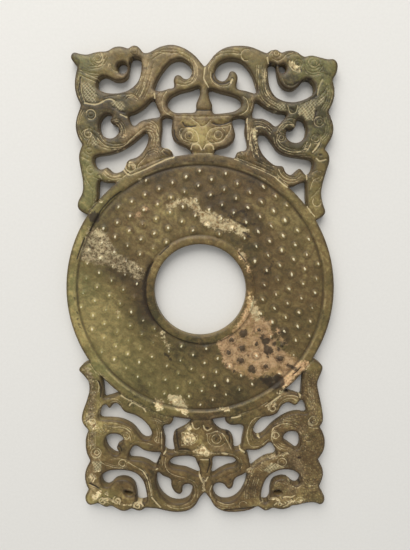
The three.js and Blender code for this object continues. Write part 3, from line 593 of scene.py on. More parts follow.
# %% Bands of lines, rings and arcs
strokes_beside = [  # a line, and how far to its left or right more fine lines run along it
    ([(-21, 85.5), (-22.2, 82), (-23.8, 78.6)], (-2.6, -1.8, -0.9, 0, 0.9, 1.8)),
    ([(-43.5, 89.2), (-40.5, 89.4), (-38, 90.8), (-36.4, 93.6)], (0, 0.9)),
    ([(-47.8, 88), (-44.4, 86.8), (-40.8, 86.3)], (0, 0.9)),
    ([(-48.9, 88.4), (-49.3, 84), (-48.9, 80), (-47.8, 76.8)], (0, 0.8)),
    ([(-30.4, 78), (-28.5, 79.3), (-26.5, 78.9), (-25, 77.8)], (0, -1)),
    ([(-47.6, 73.4), (-49, 70.6), (-49.4, 67.4), (-48.9, 64), (-47.6, 61.6)], (0, 0.9)),
    ([(-43.4, 65), (-41.4, 63.4), (-40, 61), (-37.6, 59.5), (-34, 58.9), (-30, 59.6), (-26.4, 62.2),
      (-23, 65), (-20.6, 66.4), (-18.6, 65.6), (-17.8, 63), (-18, 59.6)], (-1.7, -0.85, 0.85)),
    ([(-44.8, 59.6), (-43.8, 61.6), (-43, 63.6)], (0, 0.9, -0.9)),
    ([(-35.6, 68.2), (-33.6, 68.8), (-31.8, 67.4), (-31, 65.2), (-31.2, 62.8)], (-0.9, 0, 0.9)),
    ([(-22.4, 70), (-19.4, 69), (-17.2, 67), (-16.6, 63), (-16.8, 59)], (0, -0.9)),
    ([(-21, 57.6), (-18.4, 58.4), (-16.4, 57.2), (-15.6, 55.6)], (0, -0.9, -1.7)),
    ([(-3.2, 93.8), (-1.9, 91), (-1.5, 88), (-2, 85.6), (-3.6, 83.6)], (0, -0.8, -1.6)),
    ([(-19.4, 93.8), (-15.5, 96), (-11.6, 96.5), (-7.6, 95.8), (-4.4, 94)], (0, -1.1)),
    ([(2.6, 91), (4.4, 93.9), (7.8, 95.6), (12, 96.2), (15.4, 95.6)], (0, -1)),
    ([(24.3, 90.5), (24.4, 86), (24.4, 82), (25.6, 78.8), (28.4, 76.2),
      (31.6, 74.4)], (-1.8, -0.9, 0, 0.9)),
    ([(26.8, 89), (26.4, 84.4), (27.4, 80.6), (29.4, 78.4)], (0, -0.9)),
    ([(42.5, 88.4), (45, 87.5), (48.2, 88)], (0, -0.9)),
    ([(34.6, 94.8), (37, 95.5), (39.8, 95), (41.4, 93.4)], (0, -0.9)),
    ([(52.3, 84), (52.9, 80), (52.2, 76), (50.6, 73.2)], (0, -0.9, -1.8)),
    ([(51.6, 71.4), (52.6, 67.6), (52.2, 63.6), (50.2, 61)], (0, -0.9, -1.8)),
    ([(41.6, 58.4), (43.4, 60.9)], (0, -1, -2)), ([(45.8, 56.9), (47.4, 58.4), (48.6, 60.6)], (0, -0.8)),
    ([(30.8, 62.4), (31.3, 60.4), (33, 58.6), (35.6, 57.3), (39, 56.7), (42.5, 57)], (-0.9, 0, 0.9)),
    ([(31.8, 66.3), (33.6, 68.2), (36, 68.7), (38.3, 67.6)], (0, -0.9)),
    ([(21.8, 68.8), (24.5, 68.8), (27.5, 67.4), (29.6, 65.4)], (0, -0.9, -1.8)),
    ([(19.9, 66.5), (19.6, 63), (20.2, 59.5), (21.6, 56.2)], (0, 0.9, 1.8)),
    ([(26, 56.6), (30, 54.6), (35, 54.2), (40, 55), (44.6, 55)], (0,)),
    ([(14.4, 56.4), (16.2, 56.9), (17.8, 55.9)], (0, -0.9)),
    ([(-41.5, -57.6), (-38.5, -58.3), (-34.5, -59.2), (-31.4, -60.6), (-29.8, -62.6),
      (-29.3, -65)], (0.9, 0, -0.9)),
    ([(-48.2, -62.5), (-48.4, -66), (-47.8, -69.4)], (0, 0.9, 1.8)),
    ([(-41.5, -76.3), (-38.6, -77.5), (-35, -78.1), (-31.6, -78.4)], (0, 0.9)),
    ([(-48.8, -85.4), (-46, -86.8), (-43.4, -88.4)], (0, 0.9)),
    ([(-25.4, -79), (-23.2, -82.4), (-22.4, -86.5), (-21.8, -91)], (-0.9, 0, 0.9)),
    ([(-47.8, -36), (-46.8, -41), (-47.2, -47), (-47.8, -53)], (0, 0.9, -0.9)),
    ([(-21.6, -55), (-18.8, -55.6), (-16.4, -57), (-14.6, -56.4)], (0, -0.9)),
    ([(-19.6, -58), (-18.6, -62), (-19, -66)], (0, 0.9)), ([(-17, -62), (-16.8, -66), (-17.2, -69)], (0,)),
    ([(24.6, -56), (22.8, -58.4), (21.8, -61.6), (22, -64.6), (23.6, -66.8), (26.4, -66.4)], (0, 0.9)),
    ([(33.4, -66.4), (35.6, -68), (38.4, -68.6)], (0, -0.9, 0.9)),
    ([(24.8, -77.4), (27, -79.4)], (0, 0.9, -0.9, 1.8)),
    ([(24.6, -92), (24.4, -87), (25.4, -82.6)], (0, 0.9, 1.8)),
    ([(20.4, -92), (20.6, -87), (22, -82), (23.6, -79)], (0, 0.9)),
    ([(45.2, -83.4), (48, -84), (50.6, -83.6)], (0, -1.1, -2.2, -3.3)),
    ([(47.6, -36), (47, -41), (48, -47), (49.4, -52)], (0, 0.9, -0.9)),
    ([(35, -55), (39, -55.4), (43, -54.6)], (0, -0.9)),
    ([(-4.6, -94.6), (-8, -95.8), (-12, -95.6), (-15.6, -94)], (0.9,)),
    ([(5.6, -93.4), (9, -95.6), (13, -95.6), (16, -94.4)], (-0.9,)),
    ([(-43.6, 39), (-44, 35.6), (-46, 33.6)], (0, 0.9)),
    ([(-46.6, 52), (-47, 48), (-45.8, 44)], (0, -0.9)),
]
rings = [  # x, y and radius of round cuts, each with a smaller one inside
    (-40.6, 93.6, 2.2), (-43.9, 71.6, 1.9), (-45.7, 63.8, 1.9), (45.3, 91.3, 2.4), (48.2, 68.8, 1.9),
    (47, 62, 1.9), (39, 91, 1.7), (33, 62.6, 1.8), (-32.4, -63.4, 1.7), (-45.1, -70.8, 2),
    (-33.9, -76, 1.9), (32.7, -62.6, 1.7), (35.6, -75.3, 1.8), (46.9, -64.2, 1.8), (43.8, -93.2, 1.9),
    (-44, -62, 1.4), (48.8, -56.4, 2), (-41.2, -94, 1.9), (30.4, 95.2, 1.8), (-26, 96, 1.7),
]
wide_arcs = [  # x, y, radius, and the angles from and to which they run
    (45.3, 91.3, 3.6, 190, 340), (45.3, 91.3, 4.6, 200, 320), (-40.6, 93.6, 3.4, 180, 350),
    (35.4, -86.6, 3, 20, 170), (35.4, -86.6, 4.2, 30, 160), (37.5, -64, 5.4, 60, 185),
    (37.5, -64, 6.4, 50, 170), (37.5, -64, 7.4, 40, 150), (-32.6, 91, 3, 200, 330),
    (36.4, 86, 3.4, 190, 320),
]
print(len(strokes_beside), "bands,", len(rings), "pairs of rings and", len(wide_arcs), "arcs")

# %% [markdown]
# ## Every line as a path
#
# A smooth curve goes through the given points, and even points are taken along it.

# %% Every line as a path
def smooth_line(points, step):
    """Even points on a smooth curve through the given ones.

    Between two points the curve is the cubic whose slope at each is half the step between that
    point's two neighbours.
    """
    points = np.asarray(points, dtype=float)
    if len(points) < 3:
        return evenly(points, step, False)
    padded = np.vstack([2 * points[0] - points[1], points, 2 * points[-1] - points[-2]])
    part = np.linspace(0, 1, 9)[:-1, None]
    pieces = []
    for before, start, end, after in zip(padded, padded[1:], padded[2:], padded[3:]):
        pieces.append(0.5 * (2 * start + (end - before) * part
                             + (2 * before - 5 * start + 4 * end - after) * part ** 2
                             + (3 * start - before - 3 * end + after) * part ** 3))
    return evenly(np.vstack([*pieces, points[-1:]]), step, False)


def beside(path, offset):
    """The line moved sideways by an offset in mm, to the left of the way it runs."""
    along = np.gradient(path, axis=0)
    along /= np.hypot(*along.T)[:, None]
    return path + offset * np.stack([-along[:, 1], along[:, 0]], axis=1)


LINE_STEP = 0.45  # spacing of the points along an engraved line
line_paths = [(tool, smooth_line(points, LINE_STEP)) for tool, points in engraved]
line_paths += [(TOOLS["fine"], beside(smooth_line(points, LINE_STEP), offset))
               for points, offsets in strokes_beside for offset in offsets]
line_paths += [(TOOLS["fine"], smooth_line(arc(x, y, part * radius, 0, 360), LINE_STEP))
               for x, y, radius in rings for part in (1, 0.5)]
line_paths += [(TOOLS["fine"], smooth_line(arc(*numbers), LINE_STEP)) for numbers in wide_arcs]
print(len(line_paths), "engraved lines,",
      round(sum(len(path) for _, path in line_paths) * LINE_STEP), "mm in all")

# %% [markdown]
# ## The bosses
#
# The grain bosses stand in columns that lean a little to the right. In the lower left quarter the
# carver let the columns drift outward. Each boss is a low swell with a short sharp ridge on top,
# like a sprouting grain. The ridges lean one way on the left of the disc and the other way on its
# right. Bosses on the left are more worn.

# %% The bosses
COLUMN_DRIFT = 1.2  # mm that the columns of the lower left quarter stand too far out
COLUMN_STEP = 0.1  # mm by which each column starts lower than the one on its left
COLUMN_BOW = 0.012  # mm that it drops besides, for the square of its number from the middle
BOSS_OVERLAP = 0.35  # how far a boss may reach under a rim
BOSS_JITTER = 0.12  # how far the hand strayed from the pattern
LEFT_TURN, RIGHT_TURN = 64, 118  # degrees that the tips' ridges lie at, left and right
TURN_JITTER = 14
TURN_REACH = 25  # x at which the ridges lie as on the right
rng = np.random.default_rng(SEED)


def boss_places():
    """Centres of the bosses: column by column, every other column half a pitch higher."""
    lean = math.radians(BOSS_LEAN)
    inside = INNER_RIM + BOSS_RADIUS - BOSS_OVERLAP
    outside = OUTER_RIM - BOSS_RADIUS + BOSS_OVERLAP
    places = []
    for column in range(-10, 11):
        for row in range(-10, 11):
            across = BOSS_COLUMN * column
            up = BOSS_PITCH * (row + 0.5 * (column % 2)) + BOSS_PHASE - COLUMN_STEP * column
            up -= COLUMN_BOW * column ** 2
            if column < -2:
                across -= COLUMN_DRIFT * min(max(-up / 12, 0), 1)
            x = across * math.cos(lean) + up * math.sin(lean)
            y = up * math.cos(lean) - across * math.sin(lean)
            if inside < math.hypot(x, y) < outside:
                places.append((x, y))
    return np.array(places)


DARK_TOPS = [  # bosses of the altered patch whose tops stayed dark: x, y, radius of the stain
    (18.4, -18.4, 2), (13.5, -21, 1.3), (17.7, -24.7, 1.6), (12.2, -26.5, 1.3), (17.4, -30, 1.7),
    (22.2, -33.8, 2), (28, -32.4, 1.4), (34, -29.2, 1.7), (28.9, -25.5, 2.2), (23.8, -22.8, 1.2),
    (24.7, -16.7, 1.1),
]
bosses = boss_places()
bosses += rng.normal(0, BOSS_JITTER, bosses.shape)
for top_x, top_y, _ in DARK_TOPS:
    bosses[np.argmin(np.hypot(*(bosses - (top_x, top_y)).T))] = top_x, top_y
boss_size = rng.uniform(0.85, 1.1, len(bosses))
boss_size[(bosses[:, 0] < -8) & (bosses[:, 1] < 20)] *= 0.82  # more worn on the left
boss_polish_and_glint = rng.uniform(0.88, 1.1, len(bosses))  # how strong the gloss and the painted glint on the tip are
on_right = np.clip(bosses[:, 0] / TURN_REACH, 0, 1)
tip_turn = np.radians(LEFT_TURN + (RIGHT_TURN - LEFT_TURN) * on_right
                      + rng.normal(0, TURN_JITTER, len(bosses)))
tip_length = TIP_RADIUS * (1.6 + 0.4 * on_right)
print(len(bosses), "bosses")

# %% [markdown]
# ## The raised forms
#
# The masks' eyeballs, nostrils and nose ridges, and the heads and shoulders of the dragons, are low
# oval mounds on the crests. Ovals cut down make the hollows beside them.

# %% The raised forms
mounds = [  # x, y, half width, half height, degrees of turn, how high
    (-4.4, 63.2, 3.4, 2.9, 20, 0.3), (7.4, 63.5, 4.2, 3, 15, 0.3), (-4.4, 63.2, 1.3, 1.3, 0, 0.22),
    (7.4, 63.5, 1.3, 1.3, 0, 0.22), (1.2, 63, 1.4, 4.6, 0, 0.35), (-1.9, 58.5, 1.7, 1.6, 0, 0.4),
    (3.6, 58.6, 1.8, 1.6, 0, 0.4), (0.8, 68.6, 3, 2, 0, 0.25), (1.8, 71.4, 2.6, 1, 0, 0.3),
    (-5.6, -64.7, 3.2, 3, 0, 0.28), (7, -64.6, 3.8, 3.4, -20, 0.28), (-5.6, -64.7, 1.3, 1.3, 0, 0.22),
    (7, -64.6, 1.3, 1.3, 0, 0.22), (1.3, -63.4, 1.4, 4.2, 0, 0.35), (-1.8, -58.8, 1.7, 1.7, 0, 0.4),
    (3.1, -59.4, 1.6, 1.6, 0, 0.4), (0.9, -70.4, 3, 2.4, 0, 0.25), (-41, 93, 4.4, 2.6, -10, 0.3),
    (45.6, 91.6, 4, 2.8, 0, 0.3), (37.5, 92.8, 3.2, 2.8, 0, 0.3), (30, 94.6, 2.4, 2, 0, 0.35),
    (-26, 95.8, 2.4, 2, 0, 0.35), (-32, 95.4, 3, 2, 0, 0.25), (-41, -93.8, 2.8, 2.2, 0, 0.3),
    (-35, -93, 2.7, 2.5, 0, 0.3), (-27.4, -95.8, 2.6, 2, 0, 0.35), (43.8, -93.2, 2.6, 2, 0, 0.3),
    (36.8, -93.2, 2.8, 2.8, 0, 0.3), (29, -95.6, 2.4, 1.8, 0, 0.3), (-28, 51, 2.9, 2.7, 0, 0.3),
    (31.3, -50.8, 2.5, 2.4, 0, 0.3), (-47.2, -57.4, 2.6, 2.7, 0, 0.25), (49.4, 55.2, 2.4, 2.4, 0, 0.3),
    (-44.3, 71.3, 2.4, 2.6, 0, 0.15), (48, 68.8, 2.3, 2.4, 0, 0.15), (-13.4, 56.8, 2.2, 1.8, 0, 0.3),
    (16.6, 55.8, 3.2, 1.6, 0, 0.25), (-13.6, -57, 2, 1.6, 0, 0.3), (14, -57, 3, 1.5, 0, 0.25),
    (-45, -83, 3, 4.5, 10, 0.2), (-44.6, 80.5, 2.6, 4, 0, 0.2), (37.3, 74.2, 1.8, 1.6, 0, 0.2),
    (43, 74, 3, 3.2, 0, 0.2), (-22, -82, 2.2, 7, 8, 0.2), (-21.6, 84, 2.4, 7, -8, 0.2),
    (24, 84, 2.2, 7, 6, 0.2), (23.2, -84, 2.2, 7, -8, 0.2),
]
sunken = [  # the same, cut down: the brows' hollows, the shaded inner side of the feet
    (9, 68.4, 4.2, 1.2, 6, 0.35), (-4.6, 67.2, 2.6, 0.9, -8, 0.3), (-9.4, -65, 1.5, 3.6, 0, 0.35),
    (12.2, -64.4, 1.3, 3, 0, 0.3), (-6.6, -69.4, 3, 0.8, 0, 0.3), (-42.8, -43, 1.5, 4.6, 0, 0.35),
    (-42.9, 29.6, 2.4, 1.8, 40, 0.25), (-44.8, 33.6, 2.6, 1, 48, 0.3), (3.8, -77, 1, 3, 8, 0.5),
    (17, -97.2, 6.5, 0.9, 5, 0.55), (-33.8, 67.4, 1.9, 1.6, 0, 0.25), (36.8, 65.9, 2, 1, 0, 0.3),
]


def ovals(x, y, shapes):
    """Sum of the ovals' heights: height times (1 - q^2)^2 within q < 1, q the distance from the
    oval's middle divided by its radius in that direction."""
    total = np.zeros_like(x)
    for middle_x, middle_y, wide, tall, turn, height in shapes:
        angle = math.radians(turn)
        dx, dy = x - middle_x, y - middle_y
        along = (dx * math.cos(angle) + dy * math.sin(angle)) / wide
        across = (dy * math.cos(angle) - dx * math.sin(angle)) / tall
        q2 = along ** 2 + across ** 2
        total += height * np.where(q2 < 1, (1 - q2) ** 2, 0)
    return total


print(len(mounds), "mounds and", len(sunken), "hollows")

# %% [markdown]
# ## Points that follow the carving
#
# The faces are triangulated over plan points. Rows of points follow every edge, both sides and the
# middle of every engraved line, the steps of the rims, and rings on every boss, so that each is cut
# cleanly. An even lattice fills the rest. A point too near one that is already there is left out.

# %% Points that follow the carving
class Scatter:
    """Plan points kept in cells, so that a new point can be refused if another is too near."""

    CELL = 0.5

    def __init__(self):
        self.points = []
        self.cells = {}

    def cell(self, x, y):
        """Column and row of the cell that holds a place."""
        return math.floor(x / self.CELL), math.floor(y / self.CELL)

    def add(self, points, gap):
        """Adds each point that has no neighbour within `gap`, which is at most CELL."""
        for x, y in np.asarray(points).tolist():
            column, row = self.cell(x, y)
            near = (other for i in (-1, 0, 1) for j in (-1, 0, 1)
                    for other in self.cells.get((column + i, row + j), ()))
            if any((x - a) ** 2 + (y - b) ** 2 < gap * gap for a, b in near):
                continue
            self.points.append((x, y))
            self.cells.setdefault((column, row), []).append((x, y))


def lattice(pitch):
    """Triangular lattice over the whole object, `pitch` apart."""
    row_gap = pitch * math.sqrt(3) / 2
    columns, rows = np.meshgrid(np.arange(low[0], high[0], pitch),
                                np.arange(low[1], high[1], row_gap))
    columns = columns + 0.5 * pitch * (np.arange(len(rows))[:, None] % 2)
    return np.stack([columns.ravel(), rows.ravel()], axis=1)


def circle(x, y, radius, step):
    """Even points round a circle."""
    angles = np.linspace(0, 2 * np.pi, max(int(2 * np.pi * radius / step), 6) + 1)[:-1]
    return np.stack([x + radius * np.cos(angles), y + radius * np.sin(angles)], axis=1)


def inside_only(points, least):
    """The points that lie more than `least` in from every edge."""
    return points[depth_inside(points) > least]


ROUND_GAP = 0.24  # least distance of a new point from the others: on the row inside an edge,
LINE_GAP = 0.2  # along the engraved lines,
RIM_GAP = 0.26  # along the rims,
BOSS_GAP = 0.3  # on the bosses,
CREST_GAP = 0.34  # and in the lattices of the crests
DISC_GAP = 0.48  # and of the disc
BACK_GAP = 0.4
BESIDE_RIM = 1.1  # a row that far from a rim catches the deeper cut
RIM_SPACING = 0.55
BOSS_RINGS = (0.16, 0.36, 0.6, 0.85, 1.08)  # radii of the rows on a boss, of its own radius
RING_SPACING = 0.62
FREE_STRIP = 0.2  # left between the row inside an edge and the lattice
BACK_STRIP = 0.35  # the same on the back
BACK_RING_SPACING = 1.3

inset_points = edge_points + EDGE_INSET * edge_inward
round_points = edge_points + EDGE_ROUND * edge_inward

front = Scatter()
front.add(inset_points, 0)
front.add(inside_only(round_points, EDGE_ROUND - 0.05), ROUND_GAP)
for tool, path in line_paths:
    for offset in (0, tool["width"] / 2, -tool["width"] / 2):
        front.add(inside_only(beside(path, offset), EDGE_ROUND), LINE_GAP)
rim_rows = [OUTER_RIM, OUTER_RIM - RIM_STEP, OUTER_RIM - BESIDE_RIM,
            INNER_RIM, INNER_RIM + RIM_STEP, INNER_RIM + BESIDE_RIM,
            JOIN_RADIUS, JOIN_RADIUS + JOIN_WIDTH, JOIN_RADIUS - JOIN_WIDTH]
for radius in rim_rows:
    front.add(inside_only(circle(0, 0, radius, RIM_SPACING), EDGE_ROUND), RIM_GAP)
for boss_x, boss_y in bosses:
    front.add([(boss_x, boss_y)], BOSS_GAP)
    for part in BOSS_RINGS:
        front.add(circle(boss_x, boss_y, part * BOSS_RADIUS, RING_SPACING), BOSS_GAP)
crest_lattice = lattice(CREST_PITCH)
crest_lattice = crest_lattice[np.hypot(*crest_lattice.T) > DISC_RADIUS]
front.add(inside_only(crest_lattice, EDGE_ROUND + FREE_STRIP), CREST_GAP)
disc_lattice = lattice(DISC_PITCH)
disc_lattice = disc_lattice[np.hypot(*disc_lattice.T) < DISC_RADIUS]
front.add(inside_only(disc_lattice, EDGE_ROUND + FREE_STRIP), DISC_GAP)
front_points = np.array(front.points)

back = Scatter()
back.add(inset_points, 0)
for radius in (OUTER_RIM, OUTER_RIM - RIM_STEP, INNER_RIM, INNER_RIM + RIM_STEP):
    back.add(inside_only(circle(0, 0, radius, 2 * RIM_SPACING), EDGE_ROUND), BACK_GAP)
for boss_x, boss_y in bosses:
    ring = circle(boss_x, boss_y, 0.5 * BOSS_RADIUS, BACK_RING_SPACING)
    back.add(np.vstack([(boss_x, boss_y), ring]), BACK_GAP)
back.add(inside_only(lattice(BACK_PITCH), EDGE_ROUND + BACK_STRIP), Scatter.CELL)
back_points = np.array(back.points)
print(len(front_points), "points on the carved face,", len(back_points), "on the back")

# %% [markdown]
# ## Triangles
#
# Both faces are triangulated in the plan, with the edges kept as sides of triangles. What covers
# an opening, or lies outside the slab, is thrown away.

# %% Triangles
def triangles_of(points):
    """Triangles over the points that cover the stone, as anticlockwise rows of three indices.

    A triangle that runs along an edge the way the edge runs has the stone on its left, so it is
    kept, and one that runs against it lies in an opening. One that touches an edge only with its
    corners is kept if its middle is farther in than the row of points along the edge.
    """
    count = len(edge_points)
    corners = [Vector(point) for point in points]
    borders = list(zip(range(count), edge_next.tolist()))
    result = geometry.delaunay_2d_cdt(corners, borders, [], 0, 1e-6, True)
    source = np.array([same[0] for same in result[3]])
    faces = source[np.array(result[2])]
    on_edge = faces < count
    following = np.roll(faces, -1, axis=1)
    after = np.full(len(points), -1)
    after[:count] = edge_next
    along = (after[faces] == following).any(axis=1)
    against = (after[following] == faces).any(axis=1)
    keep = ~against
    unsure = on_edge.any(axis=1) & ~along & ~against
    keep[unsure] = depth_inside(points[faces[unsure]].mean(axis=1)) > EDGE_INSET
    return faces[keep]


front_faces = triangles_of(front_points)
back_faces = triangles_of(back_points)
print(len(front_faces), "triangles on the carved face,", len(back_faces), "on the back")

# %% [markdown]
# ## Heights
#
# Both faces are height fields over the plan. The height of a point adds up the level of the disc
# or crest that it is on, the bosses and mounds, and a slow ripple left by hand polishing, and
# takes off the engraved lines and the rounding of the edges. The same distances say where dirt
# and pale deposit lie, so they are worked out here as well.

# %% Formulas for heights
def smooth_step(value, start, end):
    """0 up to start, 1 from end, and 3t^2 - 2t^3 between, with t the way across."""
    t = np.clip((value - start) / (end - start), 0, 1)
    return t * t * (3 - 2 * t)


def ripple(x, y, shortest, longest, count, seed):
    """A sum of cosine waves in random directions, of about unit size."""
    waves = np.random.default_rng(seed)
    total = np.zeros_like(x)
    for _ in range(count):
        number = 2 * np.pi / waves.uniform(shortest, longest)
        angle, phase = waves.uniform(0, 2 * np.pi, 2)
        total += np.cos(number * (x * math.cos(angle) + y * math.sin(angle)) + phase)
    return total * math.sqrt(2 / count)


def path_distance(points, path, reach):
    """(indices, distances) of the points that lie within `reach` of a line."""
    near = (points > path.min(axis=0) - reach) & (points < path.max(axis=0) + reach)
    chosen = np.flatnonzero(near.all(axis=1))
    best = np.full(len(chosen), np.inf)
    for start, end in zip(path, path[1:]):
        offset = points[chosen] - start
        stretch = end - start
        part = np.clip(offset @ stretch / (stretch @ stretch), 0, 1)
        best = np.minimum(best, np.hypot(*(offset - part[:, None] * stretch).T))
    return chosen[best < reach], best[best < reach]


def disc_profile(radius, ground_depth, cut):
    """Level of the disc below its rims by radius, with a deeper cut beside each rim.

    The cut is a bell curve about a circle CUT_GAP away from the rim's slope.
    """
    rise = smooth_step(radius, OUTER_RIM - RIM_STEP, OUTER_RIM)
    fall = 1 - smooth_step(radius, INNER_RIM, INNER_RIM + RIM_STEP)
    ground = 1 - np.maximum(rise, fall)
    beside_rims = (np.exp(-((radius - OUTER_RIM + RIM_STEP + CUT_GAP) / CUT_WIDTH) ** 2)
                   + np.exp(-((radius - INNER_RIM - RIM_STEP - CUT_GAP) / CUT_WIDTH) ** 2))
    return -ground * (ground_depth + cut * beside_rims)


def edge_drop(depth):
    """How far a rounded edge falls: a quarter circle of radius EDGE_ROUND."""
    part = np.clip(1 - depth / EDGE_ROUND, 0, 1)
    return EDGE_ROUND * (1 - np.sqrt(1 - part ** 2))


def boss_shape(points):
    """(dome, tip, foot, polish_and_glint) of the nearest boss: its swell, the ridge on it, the ring
    round it, and how strong the gloss and the painted glint on its tip are.

    The ridge is a bell curve that falls off more slowly along its length than across it.
    """
    nearest = nearest_of(points, bosses)
    size, turn = boss_size[nearest], tip_turn[nearest]
    dx, dy = (points - bosses[nearest]).T
    distance = np.hypot(dx, dy)
    dome = size * (1 - smooth_step(distance, 0, BOSS_RADIUS))
    foot = size ** 2 * np.exp(-((distance - FOOT_RADIUS) / FOOT_WIDTH) ** 2)
    along = (dx * np.cos(turn) + dy * np.sin(turn)) / tip_length[nearest]
    across = (dy * np.cos(turn) - dx * np.sin(turn)) / TIP_RADIUS
    return dome, size * np.exp(-along ** 2 - across ** 2), foot, boss_polish_and_glint[nearest]


print("a point", EDGE_ROUND / 2, "mm in from an edge lies", round(edge_drop(EDGE_ROUND / 2), 3),
      "mm lower")

# %% [markdown]
# ## The carved face and the back
#
# Every line is pressed into the face in turn, the deepest cut winning where two cross. A pale line
# leaves deposit in its bottom and painted shade along both sides. The back is plainer: the same
# rims, a shallower ground and low bosses.

# %% The carved face and the back
SLOW_RIPPLE = 0.02  # heights of the two ripples, of waves 5 to 16 mm and 1.6 to 3 mm long
QUICK_RIPPLE = 0.012
WAVES = 14  # in each
HIGHEST = -0.03  # the tops stay just inside the solid's box

front_depth = depth_inside(front_points)
plan_x, plan_y = front_points.T
plan_radius = np.hypot(plan_x, plan_y)
on_disc = 1 - smooth_step(plan_radius, DISC_RADIUS - 0.1, JOIN_RADIUS)
dome, tip, foot, polish_and_glint = boss_shape(front_points)
cut = np.zeros(len(front_points))
cream = np.zeros(len(front_points))
# dark of the lines: dirt and painted shade in the deep cuts, painted shade beside the pale lines
dark = np.zeros(len(front_points))
for tool, path in line_paths:
    half = tool["width"] / 2
    index, distance = path_distance(front_points, path, 2.6 * half)
    profile = 1 - smooth_step(distance, 0, half * 1.15)
    cut[index] = np.maximum(cut[index], tool["depth"] * profile)
    line_fill = 1 - smooth_step(distance, 0.2 * half, 1.25 * half)
    cream[index] = np.maximum(cream[index], tool["cream"] * line_fill)
    # painted shade along both sides of a pale line
    line_side_shade = LINE_SIDE_SHADE * tool["cream"] * np.exp(-((distance / half - 1.75) / 0.5) ** 2)
    dark[index] = np.maximum(dark[index], np.maximum(tool["dark"] * line_fill, line_side_shade))
join = np.exp(-((plan_radius - JOIN_RADIUS) / JOIN_WIDTH) ** 2) * (front_depth > EDGE_ROUND)
swell = PILLOW * (smooth_step(front_depth, 0, PILLOW_WIDTH) - 1)
disc_level = (disc_profile(plan_radius, GROUND_DEPTH, RIM_CUT)
              + BOSS_HEIGHT * dome + TIP_HEIGHT * tip)
crest_level = (swell - CREST_DEPTH
               + ovals(plan_x, plan_y, mounds) - ovals(plan_x, plan_y, sunken))
level = on_disc * disc_level + (1 - on_disc) * crest_level
level += (SLOW_RIPPLE * ripple(plan_x, plan_y, 5, 16, WAVES, 3)
          + QUICK_RIPPLE * ripple(plan_x, plan_y, 1.6, 3, WAVES, 4))
level -= cut + JOIN_CUT * join + edge_drop(front_depth)
front_heights = THICKNESS + np.minimum(level, HIGHEST)

back_depth = depth_inside(back_points)
back_radius = np.hypot(*back_points.T)
back_dome, _, _, _ = boss_shape(back_points)
back_on_disc = back_radius < DISC_RADIUS
back_level = np.where(back_on_disc, disc_profile(back_radius, BACK_GROUND_DEPTH, BACK_RIM_CUT)
                      + BACK_BOSS_HEIGHT * back_dome, 0)
back_heights = edge_drop(back_depth) - np.minimum(back_level, 0)
print("carved face from", round(front_heights.min(), 2), "to", round(front_heights.max(), 2), "mm")

# %% [markdown]
# ## One mesh
#
# The front and the back share the same edge points, set in by EDGE_INSET. Two rows on the true
# outline join them, so every edge is rounded and the walls stand straight between.

# %% One mesh
count = len(edge_points)
wall_drop = EDGE_ROUND - edge_drop(np.array(EDGE_INSET))
upper = np.column_stack([edge_points, front_heights[:count] - wall_drop])
lower = np.column_stack([edge_points, back_heights[:count] + wall_drop])
carved_face = np.column_stack([front_points, front_heights])
back_face = np.column_stack([back_points, back_heights])
corners = np.vstack([carved_face, upper, lower, back_face])
upper_start = len(front_points)
lower_start = upper_start + count
back_start = lower_start + count

here = np.arange(count)
rows = [0, upper_start, lower_start, back_start]
walls = []
for above, below in zip(rows, rows[1:]):  # two triangles for each stretch of edge
    walls.append(np.column_stack([here + above, here + below, edge_next + below]))
    walls.append(np.column_stack([here + above, edge_next + below, edge_next + above]))
triangles = np.vstack([front_faces, back_faces[:, ::-1] + back_start, *walls])


def point_attribute(mesh, name, front_values, wall_values, back_value=0.0):
    """Stores one number for every point: a list for the front, the edge loop's for the walls."""
    values = np.concatenate([front_values, wall_values, wall_values,
                             np.full(len(back_points), back_value)])
    mesh.attributes.new(name, "FLOAT", "POINT").data.foreach_set("value", values)


mesh = bpy.data.meshes.new("jade_bi_carving")
mesh.from_pydata((corners * MM).tolist(), [], triangles.tolist())
mesh.polygons.foreach_set("use_smooth", np.ones(len(triangles), dtype=bool))
mesh.update()
piece = bpy.data.objects.new("jade_bi_carving", mesh)
bpy.context.collection.objects.link(piece)
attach(piece, "root")
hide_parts("jade_bi")
print(len(triangles), "triangles in the visual model")

# %% [markdown]
# ## Alteration of the stone
#
# Long burial has turned parts of the jade cream, pink-brown or grey, and has stained others dark.
# Some of the dim and dark marks are painted shade instead.
# Each kind is a set of outlines, strokes and spots on the carved face. Every point keeps its
# distance in mm inside the nearest one, positive within it, and the shader breaks up the borders.
# An image painted by hand would do as well, but distances stay sharp at any size.

# %% Distances to patches
FAR = 6.0  # distances are kept up to this many mm outside
SEARCH = 20  # how far from an outline its inside is looked for


def polygon_depth(points, outline):
    """Distance inside an outline, negative outside it. A point is inside if a line from it to the
    right crosses the outline an odd number of times."""
    outline = np.asarray(outline, dtype=float)
    path = np.vstack([outline, outline[:1]])
    result = np.full(len(points), -FAR)
    index, distance = path_distance(points, path, SEARCH)
    x, y = points[index].T
    crossings = np.zeros(len(index), dtype=int)
    for (start_x, start_y), (end_x, end_y) in zip(path, path[1:]):
        rise = end_y - start_y
        spans = (start_y > y) != (end_y > y)
        reach = start_x + (y - start_y) * (end_x - start_x) / (rise if rise != 0 else 1)
        crossings += spans & (x < reach)
    result[index] = np.where(crossings % 2 == 1, distance, -np.minimum(distance, FAR))
    return result


def stroke_depth(points, path, width):
    """Distance inside a stroke of that width along a line."""
    result = np.full(len(points), -FAR)
    index, distance = path_distance(points, smooth_line(path, 0.8), FAR)
    result[index] = width / 2 - distance
    return result


